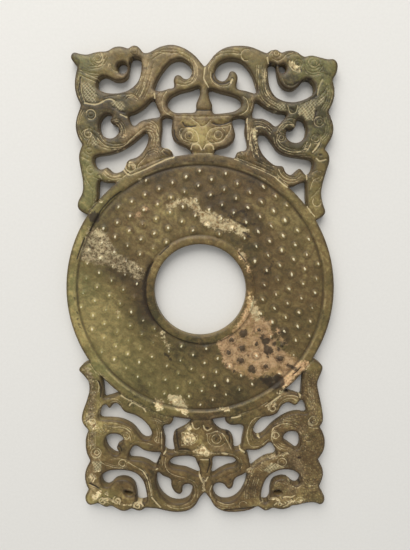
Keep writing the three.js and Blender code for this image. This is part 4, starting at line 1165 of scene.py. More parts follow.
def patch_depth(points, outlines=(), strokes=(), spots=()):
    """The greatest depth inside any outline, (line, width) stroke or (x, y, radius) spot."""
    depths = [polygon_depth(points, outline) for outline in outlines]
    depths += [stroke_depth(points, path, width) for path, width in strokes]
    depths += [radius - np.hypot(*(points - (x, y)).T) for x, y, radius in spots]
    return np.clip(np.max(depths, axis=0), -FAR, FAR)


print("a spot of radius 1 at its own middle:", patch_depth(
    np.zeros((1, 2)), spots=[(0, 0, 1)])[0], "mm deep")

# %% [markdown]
# ## Cream, tan and warm stone
#
# The strongest alteration is cream: a streak above the hole, and patches where the crests join.
# The pink-tan patch at the lower right is a separate growth that has swallowed a dozen bosses.
# Warm brown stone edges many bands of the crests, and a grey-brown crust crosses the left of the
# disc.

# %% Cream, tan and warm stone
cream_patches = {
    "outlines": [
        [(-4.6, 38.4), (-2, 38.6), (-0.4, 36.4), (0.6, 34.2), (3, 33.4), (4.4, 31.4), (8.6, 30),
         (8.4, 27.6), (5.4, 27), (2.6, 26.6), (0.4, 28.6), (-1.6, 31.6), (-3.4, 34), (-5.6, 35.4)],
        [(2, 33.6), (6, 32.2), (9, 30.8), (13, 29.4), (17, 27.4), (20, 25.2), (18, 22.8), (13, 24),
         (8, 24.8), (3, 26.4)],
        [(20.4, -1.6), (22.4, -2.4), (24.6, -6.4), (25.4, -11), (24, -13.6), (22, -12.6), (21, -8)],
        [(-20, -46.5), (-17, -46), (-15.4, -48), (-16, -51), (-18.4, -52.2), (-20.4, -50)],
        [(-13.6, -45.4), (-9, -45), (-7, -47.4), (-5, -51), (-5.6, -54.4), (-8, -53), (-11, -50.4),
         (-14, -49.4)],
        [(-44, 26.5), (-41.5, 25.4), (-39.6, 23.4), (-40.4, 21.6), (-43, 22.4)],
        [(40, 73.4), (42.4, 74.4), (44, 73), (43.4, 70), (40, 71.4)],
        [(-7.9, -61.9), (-4.4, -61.8), (-0.8, -63.6), (-2.6, -66.4), (-5.4, -67.4), (-8, -67.4)],
        [(28, -78.6), (31, -76), (34, -75.4), (34, -77.8), (31, -79.6)],
        [(-3.6, -70.3), (0.9, -67.6), (5.6, -71.3), (2.4, -72.6), (-0.8, -72)],
    ],
    "strokes": [
        ([(-13, 35.2), (-10, 36.6), (-6.6, 37.4), (-4, 37)], 2.4),
        ([(31, -37), (31.5, -39), (31.2, -40.6)], 0.9), ([(15.5, 17.6), (18, 14), (19.6, 10)], 1.6),
        ([(-16, -20.4), (-14.4, -22), (-13, -24)], 1.3), ([(8, -51), (12, -51.4)], 1.2),
        ([(37.4, -71), (33, -72.6), (28.6, -74), (25, -75.8), (22.4, -77.8), (20.6, -80)], 1.5),
        ([(-48.6, -56), (-47, -57.4), (-46, -58.6)], 3.2), ([(-43.8, -88.6), (-46, -91.6)], 2.4),
        ([(27, -93.6), (32, -92), (35, -94), (38.6, -93.6), (44, -93)], 1.1),
        ([(-43, -93), (-38, -92.6), (-34.6, -94.6), (-28, -95)], 0.7),
        ([(-13, -92), (-9.5, -93), (-6.6, -92)], 1.3), ([(21.6, 66), (23, 60), (23, 56)], 1.4),
        ([(-46, -76), (-44, -78.6)], 1.8), ([(-47, -81), (-47, -84)], 1.8),
        ([(33.6, -44.4), (36.6, -41.4)], 1.3), ([(-28, 52.6), (-26.4, 49.4)], 1.2),
        ([(1.5, -83), (1.5, -88.6)], 1.1), ([(42.8, 47.6), (43.6, 45.4)], 0.9),
        ([(36.4, 91.2), (37.2, 89.9), (39, 89)], 2.2),
        ([(29, -51.6), (30, -49.4), (32.4, -49.6), (32.4, -52)], 1.1),
    ],
    "spots": [
        (-16.2, -18, 0.9), (-18, -19, 0.6), (-36, 91, 0.9), (31.3, 46.6, 0.6), (-31, 63.4, 0.7),
        (31.4, 65, 0.8), (-41, -89.7, 0.8), (-24.4, 46.2, 0.8), (-40.8, 37.4, 0.6), (-5.4, -59, 1.6),
    ],
}
tan_patches = {
    "outlines": [
        [(20.2, 0), (19.8, -4), (18.5, -8), (17.2, -11.5), (16.2, -15.2), (13.2, -18.2), (8, -21.5),
         (8.3, -25), (9, -29), (10.5, -32), (13, -34), (17, -36), (21.5, -38.8), (24, -38), (27, -36),
         (31, -36), (34, -38), (35, -42), (38, -40.5), (41, -37.5), (45, -33), (46, -31), (44, -30),
         (41, -29.7), (38.5, -27), (34.5, -25), (32, -22), (31, -19), (29.5, -13), (25.5, -11.5),
         (24.5, -9), (24, -6), (22, -1.5)],
    ],
    "strokes": [
        ([(16, 17), (18.4, 13.4), (20, 9)], 2),
    ],
    "spots": [
        (-25.6, 31.6, 1.6), (-22, 34, 1.2), (34.4, -21.2, 0.9), (36.4, -23.2, 0.7), (33, -17.2, 0.8),
    ],
}
warm_patches = {
    "strokes": [
        ([(-14, 72), (-16.5, 75), (-17.5, 79), (-20, 86), (-22, 91), (-25, 94)], 4.4),
        ([(-30, 62.4), (-26, 65), (-20, 66), (-17, 61), (-19, 55)], 4.4),
        ([(-11, 96.4), (-10.6, 92.6)], 3.4), ([(-2.6, 92), (-1, 87)], 2),
        ([(-10.6, 69), (-9.6, 64), (-8, 61)], 3.4), ([(12.6, 66), (12, 61), (8, 59)], 3),
        ([(-46, -86), (-47, -89.6)], 3.6), ([(-46.6, -75), (-47.8, -80)], 3.4),
        ([(25, -75), (29, -77)], 2.4), ([(5, -68), (9, -69.6), (13, -68)], 2.4),
        ([(36, -92.6), (40, -93.6)], 2.6), ([(-45.4, -71), (-45, -74)], 2.6), ([(21, 79), (21.6, 74)], 2),
        ([(30, 93), (33, 92.6)], 1.6), ([(19.6, 66), (19.4, 59)], 2.2), ([(-40, 49), (-34, 47)], 2.4),
        ([(36, 45), (41, 45)], 1.6), ([(-29, 87), (-33, 85.6)], 3),
        ([(44, -60), (40, -70), (44, -80), (40, -88)], 4), ([(33, -46.4), (37, -44.4), (41, -45)], 1.6),
        ([(-45.6, -44), (-46.4, -50), (-45.8, -56)], 3), ([(48, -44), (48.6, -54)], 2.4),
    ],
}
crust_patches = {
    "outlines": [
        [(-44.5, 28), (-42, 25.4), (-39, 24.5), (-38, 21), (-35.5, 19), (-34.5, 16), (-31, 13.5),
         (-27, 12), (-24.4, 9), (-23.2, 5), (-25, 4.5), (-28, 5), (-30.5, 8), (-35.5, 9.5), (-39, 10.5),
         (-43, 11), (-50, 13), (-49.4, 18), (-47.4, 23)],
    ],
    "strokes": [
        ([(-47.6, -36), (-46.4, -42), (-47, -50), (-47.6, -56)], 2.4), ([(-46.8, -62), (-46.4, -68)], 1.8),
        ([(-47.8, -33.6), (-49.6, -33.6)], 1.4),
    ],
    "spots": [
        (-47, -81.6, 1.4),
    ],
}
print(len(cream_patches["outlines"]), "cream outlines and", len(cream_patches["strokes"]),
      "cream strokes")

# %% [markdown]
# ## Nets and pebbles
#
# Some bands are cut with a net of crossed lines, and others are covered with small raised grains.
# Only their places are given here. The shader draws the lines and grains.

# %% Nets and pebbles
net_patches = {  # cut with a fine net of crossed lines
    "outlines": [
        [(-47.4, 84.6), (-45, 84.4), (-42, 82), (-41.4, 79.4), (-41.8, 76.4), (-44, 76), (-46.6, 77.4)],
        [(-35.6, 77), (-31.6, 76.6), (-29.8, 75), (-30.4, 73), (-33, 73), (-35, 75)],
        [(-44.4, 59.6), (-43.4, 63.8), (-40.4, 60), (-41, 59)],
        [(30, 76.2), (34.4, 75.8), (34.6, 73), (31.4, 73)],
        [(39.4, 74.4), (43, 76), (47, 77.8), (46.6, 74), (46, 69.6), (43.4, 69.2), (39.2, 72)],
        [(46.6, 76), (48.6, 79), (50.3, 78.4), (49.5, 75.8), (47, 74.4)],
        [(27, -79.3), (29, -76.8), (32.4, -75.3), (34.2, -76), (33.8, -78.2), (31, -80)],
        [(-47, -74.4), (-43, -75), (-42.6, -79), (-46.6, -79)],
    ],
}
pebble_patches = {  # covered with small raised grains
    "outlines": [
        [(30, -53.4), (52, -53), (54, -66), (52, -74), (54, -82), (54, -96), (45, -96), (44, -88),
         (43.6, -80), (36, -78), (38, -70.4), (42, -67), (41, -60), (36, -57.6), (31, -60)],
        [(30, -82), (42, -84), (43, -90), (31, -90)], [(20, -80), (27, -80), (26, -92), (19, -92)],
        [(-50, -34), (-44, -38), (-44.6, -54), (-50, -60), (-44, -62), (-50, -70)],
        [(42, -34), (52, -34), (52, -54), (44, -54)], [(-42, -58), (-37, -58), (-38, -62), (-43, -63)],
        [(-24, 54), (-12, 55), (-14, 59), (-19, 60)], [(-22, -53), (-12, -54), (-13, -59), (-20, -58)],
    ],
}
print(len(net_patches["outlines"]), "netted and", len(pebble_patches["outlines"]), "pebbled areas")

# %% [markdown]
# ## Dim and dark stone, and painted shade
#
# Hollows and the undersides of curls are painted dim, as painted shade, and some dim patches on the
# disc are brown stain. Cracks, pupils and the bosses of the tan patch are stained nearly black, and
# the dark marks in the small mouth holes and above one opening are painted shade.

# %% Dim and dark stone, and painted shade
dim_stain_and_shade_patches = {  # darker, browner stone: painted shade in hollows and on the undersides of curls, brown stain on the disc
    "outlines": [
        [(-36.6, 68.2), (-35, 70.4), (-31, 70.6), (-28.4, 68.8), (-27.8, 66), (-30, 65.6), (-33, 66.6)],
        [(22, 69.8), (26, 69.6), (30, 66.6), (30, 64), (27, 66), (23, 67)],
        [(0, 41), (4, 38), (10, 40), (16, 37), (23, 33), (27, 27), (25, 25), (18, 29), (10, 32), (3, 34.6),
         (1, 36)],
        [(-40, 10.6), (-33, 9), (-26, 4), (-22.6, 6), (-22.4, -6), (-19, -13), (-24, -12), (-28, -2),
         (-34, 5), (-40, 8)],
        [(30, -14), (37, -16), (39, -21), (36, -24), (32, -21), (29, -18)],
        [(22, -37.6), (30, -37), (37, -35.4), (38.4, -40), (34, -45), (27, -43), (22, -40)],
        [(-37, -66.6), (-33, -66), (-30.6, -69.6), (-33, -72), (-35.4, -70)],
        [(31, 90.6), (35, 91), (34, 87), (31.6, 88)],
    ],
    "strokes": [
        ([(-46.4, 74), (-44, 74.8), (-41, 74.4), (-38.6, 74.8), (-36, 74.2), (-34, 72.8),
          (-31, 72.2)], 1.7),
        ([(-20.4, 13), (-22.8, 7), (-23.6, 0), (-22.8, -7), (-20, -13), (-15, -18.4)], 2.6),
        ([(46.4, 73), (46, 70), (46.2, 67)], 1.4),
        ([(-35, -84.6), (-32, -82.6), (-29, -84.6), (-28.6, -88)], 3),
        ([(-18, 50), (-10, 52.6), (0, 53.6), (10, 52.8)], 2.4),
        ([(-39.4, 29), (-34.6, 36), (-28, 42.6), (-20, 47.4)], 1.4),
        ([(-11.2, 68), (-10.6, 63), (-7.6, 59.8)], 1.4), ([(13.6, 67), (12.6, 61.6), (8.6, 58.8)], 1.4),
        ([(-9.8, -60.4), (-9.8, -65), (-9, -69)], 2.4), ([(11, -60.4), (13.6, -63), (13.8, -68)], 2.2),
        ([(32, 41.6), (39, 34.6), (44.6, 26.6)], 1.4), ([(-9, -54.4), (0, -55), (9, -54.4)], 2),
    ],
}
# nearly black stains, and painted shade in the small mouth holes and above one opening
dark_stain_and_shade_patches = {
    "outlines": [
        [(25, -37.6), (28, -36.4), (31, -37), (33.6, -35), (36, -38), (36.4, -40), (33.6, -42.6),
         (30, -42.4), (27, -40.6)],
        [(25.4, -20.6), (28.6, -20.6), (29.6, -23), (27, -24)],
        [(-46.4, 31.6), (-43.4, 33), (-41, 32), (-41.6, 28.6), (-45, 27.6)],
    ],
    "strokes": [
        ([(37.4, -32), (40.6, -33.6)], 1.9), ([(3, 38.6), (9, 40)], 0.9), ([(9, 34), (12.4, 30.4)], 1),
        ([(12, 30.6), (15, 29), (19, 27)], 1.2), ([(18, 24.4), (21, 22.4)], 1.2),
        ([(5, 31), (8.6, 30)], 0.8), ([(12.6, 25.6), (15, 24.6)], 1), ([(10, 29), (12, 28.4)], 0.6),
        ([(20, 27.4), (23, 28)], 0.8), ([(-20.6, 10.6), (-23.4, 3), (-23.2, -6), (-20, -12.4)], 2),
        ([(-46, 19), (-45, 17.4)], 1), ([(-15, -27), (-12.4, -29.6)], 1.6),
        ([(-52.4, 8), (-52.6, 6)], 0.8), ([(-52.6, -2), (-52.6, -4)], 0.8),
        ([(-52, -7), (-51.3, -13), (-50, -17)], 0.8), ([(34.5, -22.8), (37, -22.5)], 1),
        ([(-19, 90), (-24, 89)], 0.7), ([(19, 45), (22, 44.6)], 0.8), ([(7, 41), (10, 40)], 0.8),
        # the two short strokes here lie in the lower mouth holes, and (36, 83) to (44.6, 85.6) lies above
        # an opening: painted shade
        ([(32, -88.9), (34, -89), (35.6, -89.7)], 0.5), ([(-32.4, -89.9), (-30, -90)], 0.5),
        ([(36, 83), (41, 84.6), (44.6, 85.6)], 1.2), ([(-26.6, 92.6), (-28, 91.4)], 1.1),
        ([(12.6, 31), (17, 33), (19, 31)], 1.2), ([(27, 7), (29, 9), (30, 12)], 1),
    ],
    "spots": [
        *DARK_TOPS, (26.4, -19.6, 1.5), (28.4, -21.4, 1.6), (34.6, -23.6, 1), (37, -20.6, 0.8),
        (33.6, -18, 0.7), (30.6, -20.2, 0.8), (31.4, -23, 1.2), (33.4, -25.4, 1), (27, -22.6, 0.8),
        (32.8, -21, 0.6), (35.6, -26.6, 0.7), (-4.4, 63.2, 0.7), (7.4, 63.5, 0.7), (-5.6, -64.7, 0.7),
        (7, -64.6, 0.9), (11.3, -32, 1), (29, -28.4, 0.6), (20.6, -27.8, 0.8), (14.6, -34.6, 0.9),
        (-44, 24, 0.5), (-40.5, 15.5, 0.6), (-37, 13.5, 0.6), (-31, 9, 0.7), (-29, 6.6, 0.6),
        # (31.6, 90.2) and (-32.6, 90) lie in the upper mouth holes: painted shade
        (18.5, 32.5, 0.9), (43, -73.3, 0.9), (-28, -91, 0.7), (31.6, 90.2, 0.8), (-32.6, 90, 0.7),
        (48.3, 85, 0.5), (-18.6, 77, 0.9), (-41.8, 50, 0.5), (-37.8, 50.8, 0.4),
    ],
}
print(len(dark_stain_and_shade_patches["strokes"]), "dark strokes and", len(dark_stain_and_shade_patches["spots"]), "dark spots")

# %% [markdown]
# ## Broad tints
#
# The jade itself turns browner or greener, and lighter or darker, over a centimetre or two. Each
# such zone is a soft round spot, and the spots add up.

# %% Broad tints
brown_zones = [  # x, y, radius and strength of broad brown tints; minus means greener
    (-15, 78, 10, 0.5), (-22, 64, 8, 0.7), (0, 64, 14, 0.35), (24, 62, 9, 0.4), (38, 88, 8, -0.3),
    (-47, 40, 11, -1.3), (-48, 50, 9, -0.9), (-47, 92, 9, -1.1), (-46, 68, 8, -0.6), (48, 68, 10, -1.2),
    (48, 84, 9, -1.1), (33, 72, 7, -0.7), (49, 42, 10, -0.6), (46, 94, 8, -1.0), (15, 93, 9, -0.3),
    (-8, 93, 9, -0.3), (-45, -8, 16, -0.7), (-38, -26, 16, -0.6), (-26, -40, 14, -0.6),
    (-10, -48, 12, -0.4), (0, -40, 10, -0.3), (30, 30, 20, 0.45), (0, 45, 20, 0.35), (42, 5, 16, 0.3),
    (25, 5, 8, 0.5), (-25, 0, 5, 0.9), (-22, 32, 9, 0.7), (44, -68, 14, 0.8), (48, -88, 9, 0.5),
    (22, -88, 11, 0.7), (35, -88, 9, 0.5), (-16, -64, 8, 0.6), (-30, -66, 10, 0.1), (10, -92, 10, 0.5),
    (-22, -90, 10, 0.1), (-12, -78, 8, 0.3), (46, -46, 10, 0.7), (-47, -90, 6, -0.6), (52, -90, 5, -0.5),
    (-30, -85, 10, 0.5), (35, -60, 9, 0.4), (0, -62, 9, 0.7), (0, -80, 12, 0.4), (-24, -74, 9, 0.2),
    (-38, -54, 8, 0.3), (20, -72, 8, 0.2), (30, -50, 8, 0.4), (0, -95, 14, 0.2), (-47, -76, 8, 0.6),
    (-25, 25, 12, 0.5), (0, 33, 12, 0.3), (-54, 2, 9, -1.0), (-51, 21, 6, -1.2), (-44, -33, 6, -0.6),
]

shade_zones = [  # the same for broad light and dark areas; minus means darker
    (-24, 28, 12, 0.5), (34, 30, 9, 0.5), (-45, -12, 14, 0.8), (-35, -24, 10, 0.6), (-10, 30, 9, 0.3),
    (-22, -8, 7, -0.8), (-31, 7, 8, -0.7), (-16, 49, 6, -0.9), (22, 4, 9, -0.4), (14, -14, 5, -0.3),
    (-6, -23, 8, -0.5), (-30, -46, 8, -0.5), (13, -48, 12, -0.7), (3, -55, 6, -0.6), (-12, 18, 8, 0.1),
    (26, 18, 9, -0.3), (8, 40, 6, -0.3), (-38, 30, 6, -0.3), (40, -16, 8, -0.3), (46, 20, 8, 0.2),
    (-46, 93, 8, -0.4), (-46, 70, 9, -0.6), (-36, 73, 7, -0.5), (-30, 79, 6, -0.5), (-32, 63, 6, -0.4),
    (0, 63, 6, 0.9), (-9, 63, 3, -0.8), (13, 62, 3, -0.8), (32, 71, 12, -0.9), (50, 72, 10, -0.45),
    (33, 56, 7, -0.7), (36, 84, 8, -0.5), (10, 82, 12, -0.2), (-46, -58, 8, 0.7), (-37, -65, 7, 0.3),
    (0, -64, 5, 0.6), (-14, -62, 6, -0.5), (-20, -85, 8, -0.5), (-12, -72, 7, -0.4), (41, -76, 5, -0.4),
    (48, -64, 6, 0.3), (48, -80, 9, 0.1), (38, -92, 8, 0.1), (-46, -95, 7, 0.6), (42, 80, 14, -0.4),
    (24, 58, 9, -0.5), (22, 46, 7, -0.6), (-27, -12, 8, -0.6), (44, 62, 8, -0.4), (2, -23, 6, -0.4),
    (-6, 14, 8, -0.2), (26, -96, 5, 0.5), (50, -95, 6, 0.5), (-54, 6, 6, 0.1), (-53, -10, 6, 0),
    (-46, -52, 8, 0.6), (48, -51, 8, 0.5), (48, 48, 7, -0.4), (-51, 21, 4, 0.8), (-36, 66, 8, -0.5),
    (-46, 78, 5, -0.4), (4, 49, 9, -0.1), (-41, -78, 6, -0.3), (-34, -84, 6, -0.1), (8, -62, 6, -0.3),
    (14, -80, 8, -0.2), (-5, -88, 6, -0.4),
]


def zone_sum(points, zones):
    """Adds up the zones, each strongest in its middle and fading as a bell curve."""
    total = np.zeros(len(points))
    for zone_x, zone_y, zone_radius, strength in zones:
        away = np.hypot(points[:, 0] - zone_x, points[:, 1] - zone_y) / zone_radius
        total += strength * np.exp(-away ** 2)
    return total


print(len(brown_zones), "brown or green zones and", len(shade_zones), "light or dark ones")

# %% [markdown]
# ## Numbers for the shader
#
# Each number above is stored on the mesh as an attribute of its points. The walls of the openings
# repeat the values of their edge, and the back counts as plain stone far from every patch.

# %% Numbers for the shader
patchy = ripple(plan_x, plan_y, 6, 14, 10, 8) > 0.1  # deposit comes and goes along the join
join_cream = join * np.where(patchy, 0.8, 0.2)
cream = np.maximum(cream, join_cream)
values = {
    "cream_line": cream,
    "line_dirt_and_shade": dark,
    "cream_depth": patch_depth(front_points, **cream_patches),
    "tan_depth": patch_depth(front_points, **tan_patches),
    "warm_depth": patch_depth(front_points, **warm_patches),
    "net_depth": patch_depth(front_points, **net_patches),
    "pebble_depth": patch_depth(front_points, **pebble_patches),
    "dim_stain_and_shade_depth": patch_depth(front_points, **dim_stain_and_shade_patches),
    "crust_depth": patch_depth(front_points, **crust_patches),
    "dark_stain_and_shade_depth": patch_depth(front_points, **dark_stain_and_shade_patches),
    "brownness": zone_sum(front_points, brown_zones),
    "shade": zone_sum(front_points, shade_zones),
    "edge_depth": np.minimum(front_depth, FAR),
    "boss_tip_polish_and_glint": tip * polish_and_glint * on_disc,
    "boss_ring_dirt_and_shade": foot * on_disc,
    "hollow_dirt_and_shade": np.clip(-level, 0, 2),
}
values["wall"] = np.zeros(len(front_points))
wall_values = {"wall": np.ones(count), "edge_depth": np.zeros(count)}
back_values = {name: -FAR for name in values if name.endswith("_depth")}
back_values.update({"edge_depth": 2.0, "hollow_dirt_and_shade": 0.2})
for name, numbers in values.items():
    walls = wall_values.get(name, numbers[:count])
    point_attribute(mesh, name, numbers, walls, back_values.get(name, 0.0))
print("attributes:", ", ".join(values))

# %% [markdown]
# ## Shader formulas
#
# Formulas are written on shader sockets with a small class, so that they read as arithmetic. All
# lengths in them are in mm of the object's own space.

# %% Tools for shader formulas
def rgb(red, green, blue):
    """A colour given as 0 to 255, turned into the linear light that shaders use."""
    def linear(value):
        value /= 255
        return value / 12.92 if value <= 0.04045 else ((value + 0.055) / 1.055) ** 2.4
    return linear(red), linear(green), linear(blue), 1.0


class Socket:
    """A shader output with arithmetic. Each operation adds a Math node to its graph."""

    def __init__(self, graph, output):
        self.graph = graph
        self.output = output

    def __add__(self, other):
        return self.graph.math("ADD", self, other)

    def __sub__(self, other):
        return self.graph.math("SUBTRACT", self, other)

    def __rsub__(self, other):
        return self.graph.math("SUBTRACT", other, self)

    def __mul__(self, other):
        return self.graph.math("MULTIPLY", self, other)

    def __neg__(self):
        return self.graph.math("MULTIPLY", self, -1.0)

    __radd__ = __add__
    __rmul__ = __mul__


class Graph:
    """The node tree of one material."""

    FACTOR, FIRST, SECOND, MIXED = 0, 6, 7, 2  # a Mix node's sockets when it mixes colours

    def __init__(self, name):
        self.material = bpy.data.materials.new(name)
        self.material.use_nodes = True
        self.tree = self.material.node_tree
        self.tree.nodes.clear()

    def put(self, socket, value):
        """Links a Socket to an input, or sets a plain value there."""
        if isinstance(value, Socket):
            self.tree.links.new(value.output, socket)
        else:
            socket.default_value = value

    def node(self, kind, settings=None, inputs=None, output=0):
        """Adds a node, sets its settings and then its sockets, and gives one of its outputs."""
        made = self.tree.nodes.new(kind)
        for key, value in (settings or {}).items():
            setattr(made, key, value)
        for key, value in (inputs or {}).items():
            self.put(made.inputs[key], value)
        return Socket(self, made.outputs[output]) if len(made.outputs) else made

    def math(self, operation, *values):
        """One Math node on sockets or plain numbers."""
        return self.node("ShaderNodeMath", {"operation": operation}, dict(enumerate(values)))

    def larger(self, first, second):
        """The larger of two values."""
        return self.math("MAXIMUM", first, second)

    def between(self, value, start, end):
        """0 at start and 1 at end, held to that range, with soft ends."""
        return self.node("ShaderNodeMapRange", {"interpolation_type": "SMOOTHSTEP"},
                         {"Value": value, "From Min": start, "From Max": end})

    def blend(self, factor, first, second):
        """The first colour where the factor is 0, the second where it is 1."""
        return self.node("ShaderNodeMix", {"data_type": "RGBA"}, {
            self.FACTOR: factor, self.FIRST: first, self.SECOND: second}, self.MIXED)

    def attribute(self, name):
        """A number stored on the mesh."""
        return self.node("ShaderNodeAttribute", {"attribute_name": name}, output="Fac")

    def noise(self, place, size, detail=3.0, roughness=0.55, twist=0.0):
        """Noise about 0, mostly from -0.5 to 0.5, with patches of about `size` mm."""
        made = self.node("ShaderNodeTexNoise", {}, {
            "Vector": place, "Scale": 1 / size, "Detail": detail, "Roughness": roughness,
            "Distortion": twist})
        return 2.4 * (made - 0.5)


print("mid grey in linear light:", round(rgb(128, 128, 128)[0], 3))

# %% [markdown]
# ## The jade itself
#
# Fresh jade is olive. It turns greener or browner by place, and is clouded, veined and flecked.
# Each noise is one size of that mottling, named after what it looks like, and the later layers use
# the same ones to make their borders ragged. Blending colours in layers was chosen over one colour
# ramp, because each cause of colour can then be changed on its own.

# %% The jade itself
shader = Graph("altered_jade")
blend, between, attribute, noise = shader.blend, shader.between, shader.attribute, shader.noise
place = shader.node("ShaderNodeVectorMath", {"operation": "SCALE"}, {
    0: shader.node("ShaderNodeTexCoord", output="Object"), "Scale": 1 / MM})

cloud = noise(place, 14, 4, 0.6, 0.4)
mottle = noise(place, 3.2, 5, 0.62, 0.6)
grain = noise(place, 0.8, 4, 0.6)
fleck = noise(place, 0.35, 2, 0.5)
ragged = noise(place, 2.2, 5, 0.68, 0.8)
speck = noise(place, 1.5, 4, 0.75, 0.3)
vein_place = shader.node("ShaderNodeMapping", {"vector_type": "TEXTURE"}, {
    "Vector": place, "Rotation": (0, 0, math.radians(-38)), "Scale": (3.4, 1, 1)})
vein = noise(vein_place, 3.4, 4, 0.62, 0.7)

brownness = attribute("brownness")
green_part = between(brownness + 1.2 * cloud + 0.5 * mottle, -0.9, 0.9)
jade = blend(green_part, rgb(111, 99, 55), rgb(98, 77, 43))
sage = between(-brownness + 0.4 * cloud, 0.4, 1.3)
jade = blend(sage * 0.7, jade, rgb(104, 103, 60))
lightness = attribute("shade") + 0.6 * cloud + 0.7 * vein + 0.8 * mottle + 0.9 * speck
jade = blend(between(lightness, -0.1, 1.3) * 0.85, jade, rgb(170, 152, 96))
deep = blend(green_part, rgb(54, 48, 24), rgb(42, 32, 14))
jade = blend(between(-lightness, -0.1, 1.1) * 0.92, jade, deep)
jade = blend(between(fleck + 0.5 * mottle, 0.25, 0.7) * 0.28, jade, rgb(164, 148, 100))
jade = blend(between(-fleck + 0.5 * grain, 0.25, 0.75) * 0.28, jade, rgb(44, 35, 18))
print(len(shader.tree.nodes), "nodes for fresh jade")

# %% [markdown]
# ## Altered stone
#
# Each kind of alteration has a place, which is a distance roughened by noise, and a colour of its
# own, mottled between two tones. They are laid over the jade from the faintest to the strongest.

# %% Altered stone
warm_here = between(attribute("warm_depth") + 1.4 * ragged + 0.7 * cloud, -1.4, 1.4)
warm_colour = blend(between(mottle + grain, -0.6, 0.6), rgb(96, 76, 46), rgb(160, 138, 100))

# dim stone: brown stain on the disc, painted shade in hollows and under curls
dim_stain_and_shade_here = between(attribute("dim_stain_and_shade_depth") + 1.6 * mottle + 1.2 * ragged, -0.8, 1.2)
dim_stain_and_shade_colour = blend(between(speck, -0.6, 0.7), rgb(38, 29, 14), rgb(92, 74, 42))

tan_here = between(attribute("tan_depth") + 2.4 * mottle + 2.2 * ragged + grain, -0.5, 0.8)
tan_tone = between(mottle + 0.8 * speck + grain, -0.9, 0.8)
tan_colour = blend(tan_tone, rgb(112, 80, 48), rgb(222, 184, 138))
tan_colour = blend(between(cloud + 0.7 * ragged, 0.0, 0.6) * 0.75, tan_colour, rgb(158, 130, 80))
tan_colour = blend(between(-vein - speck, 0.3, 0.9) * 0.7, tan_colour, rgb(84, 64, 36))

crust_here = between(attribute("crust_depth") + 2.0 * mottle + 2.6 * ragged + grain, -0.4, 0.8)
crust_tone = between(1.3 * speck + 0.6 * mottle + grain, -0.55, 0.6)
crust_colour = blend(crust_tone, rgb(74, 57, 32), rgb(216, 198, 156))
crust_vein = between(-vein - 0.6 * cloud, -0.2, 0.6)
crust_colour = blend(crust_vein * 0.8, crust_colour, rgb(96, 76, 46))

cream_here = between(attribute("cream_depth") + 1.2 * mottle + 2.2 * ragged + grain, -0.2, 0.9)
cream_tone = between(speck + 0.8 * mottle + grain, -0.8, 0.6)
cream_colour = blend(cream_tone, rgb(130, 98, 54), rgb(236, 218, 170))

stone = jade
for amount, colour in (
        (warm_here * 0.6, warm_colour), (dim_stain_and_shade_here * 0.75, dim_stain_and_shade_colour), (tan_here * 0.92, tan_colour),
        (crust_here * 0.8, crust_colour), (cream_here * 0.92, cream_colour)):
    stone = blend(amount, stone, colour)
print(len(shader.tree.nodes), "nodes with the altered stone")

# %% [markdown]
# ## Dirt, deposit, painted shade and painted highlights
#
# Hollows, the rings round the bosses, the edges and the foot of the outer rim are darkened: partly
# dirt, partly painted shade of the relief. The crown of the outer rim carries a painted highlight,
# and a line just inside the edges of the crests is lightened, partly wear and partly painted
# highlight. The walls of the openings are painted a little lighter, which is painted light. The
# engraved lines come last: dark ones, partly dirt and partly painted shade, then pale ones. Inside a
# pale patch a line shows dark, and the fresh, greenish jade holds less of the pale deposit.

# %% Dirt, deposit and painted shade
RIM_FOOT, RIM_CROWN = OUTER_RIM - 0.7, OUTER_RIM + 0.35  # radii of the painted shade at the rim's foot and the painted highlight on its crown


def ring(radius, width):
    """1 on a circle about the middle of the hole, and 0 once `width` mm away from it."""
    return 1 - between(shader.math("ABSOLUTE", plan_distance - radius), 0.1, width)


plan_distance = shader.node("ShaderNodeVectorMath", {"operation": "LENGTH"}, {0: place}, "Value")
on_crest = between(plan_distance, 53.0, 55.0)
edge_distance = attribute("edge_depth")
wall = attribute("wall")
brighter = cloud + mottle
# darker along the edges: dirt and painted shade of the rounded edges
edge_dirt_and_shade = 1 - between(edge_distance + 0.4 * grain + 0.5 * mottle, 0.2, 1.5)
edge_dirt_and_shade = edge_dirt_and_shade * (0.25 + 0.5 * on_crest) * (1 - 0.5 * wall)
# lighter line just inside the crest edges: partly wear, partly painted highlight
edge_wear_and_highlight = 1 - between(shader.math("ABSOLUTE", edge_distance - 1.2 + 0.4 * mottle), 0.1, 0.6)
edge_wear_and_highlight = edge_wear_and_highlight * between(cloud + ragged, -0.1, 0.6) * on_crest
# dark ring round each boss: dirt and painted shade
boss_ring_dirt_and_shade_mask = between(attribute("boss_ring_dirt_and_shade") + 0.6 * mottle + 0.3 * grain, 0.2, 1.1)
# darker in hollows: dirt and painted shade of the relief
hollow_dirt_and_shade = between(attribute("hollow_dirt_and_shade") + 0.25 * grain, 0.35, 1.05)
line_noise = 0.55 * mottle + 0.4 * grain
cream_line = between(attribute("cream_line") + line_noise, 0.38, 0.95)
line_dirt_and_shade = between(attribute("line_dirt_and_shade") + 0.6 * line_noise, 0.25, 0.8)
dark_stain_and_shade_here = between(attribute("dark_stain_and_shade_depth") + 1.2 * ragged + 0.8 * grain, -0.1, 0.6)
fresh = between(-brownness, 0.4, 1.2)
in_pale_patch = shader.larger(cream_here, 0.7 * crust_here)
line_colour = blend(in_pale_patch, rgb(200, 182, 140), rgb(84, 64, 36))

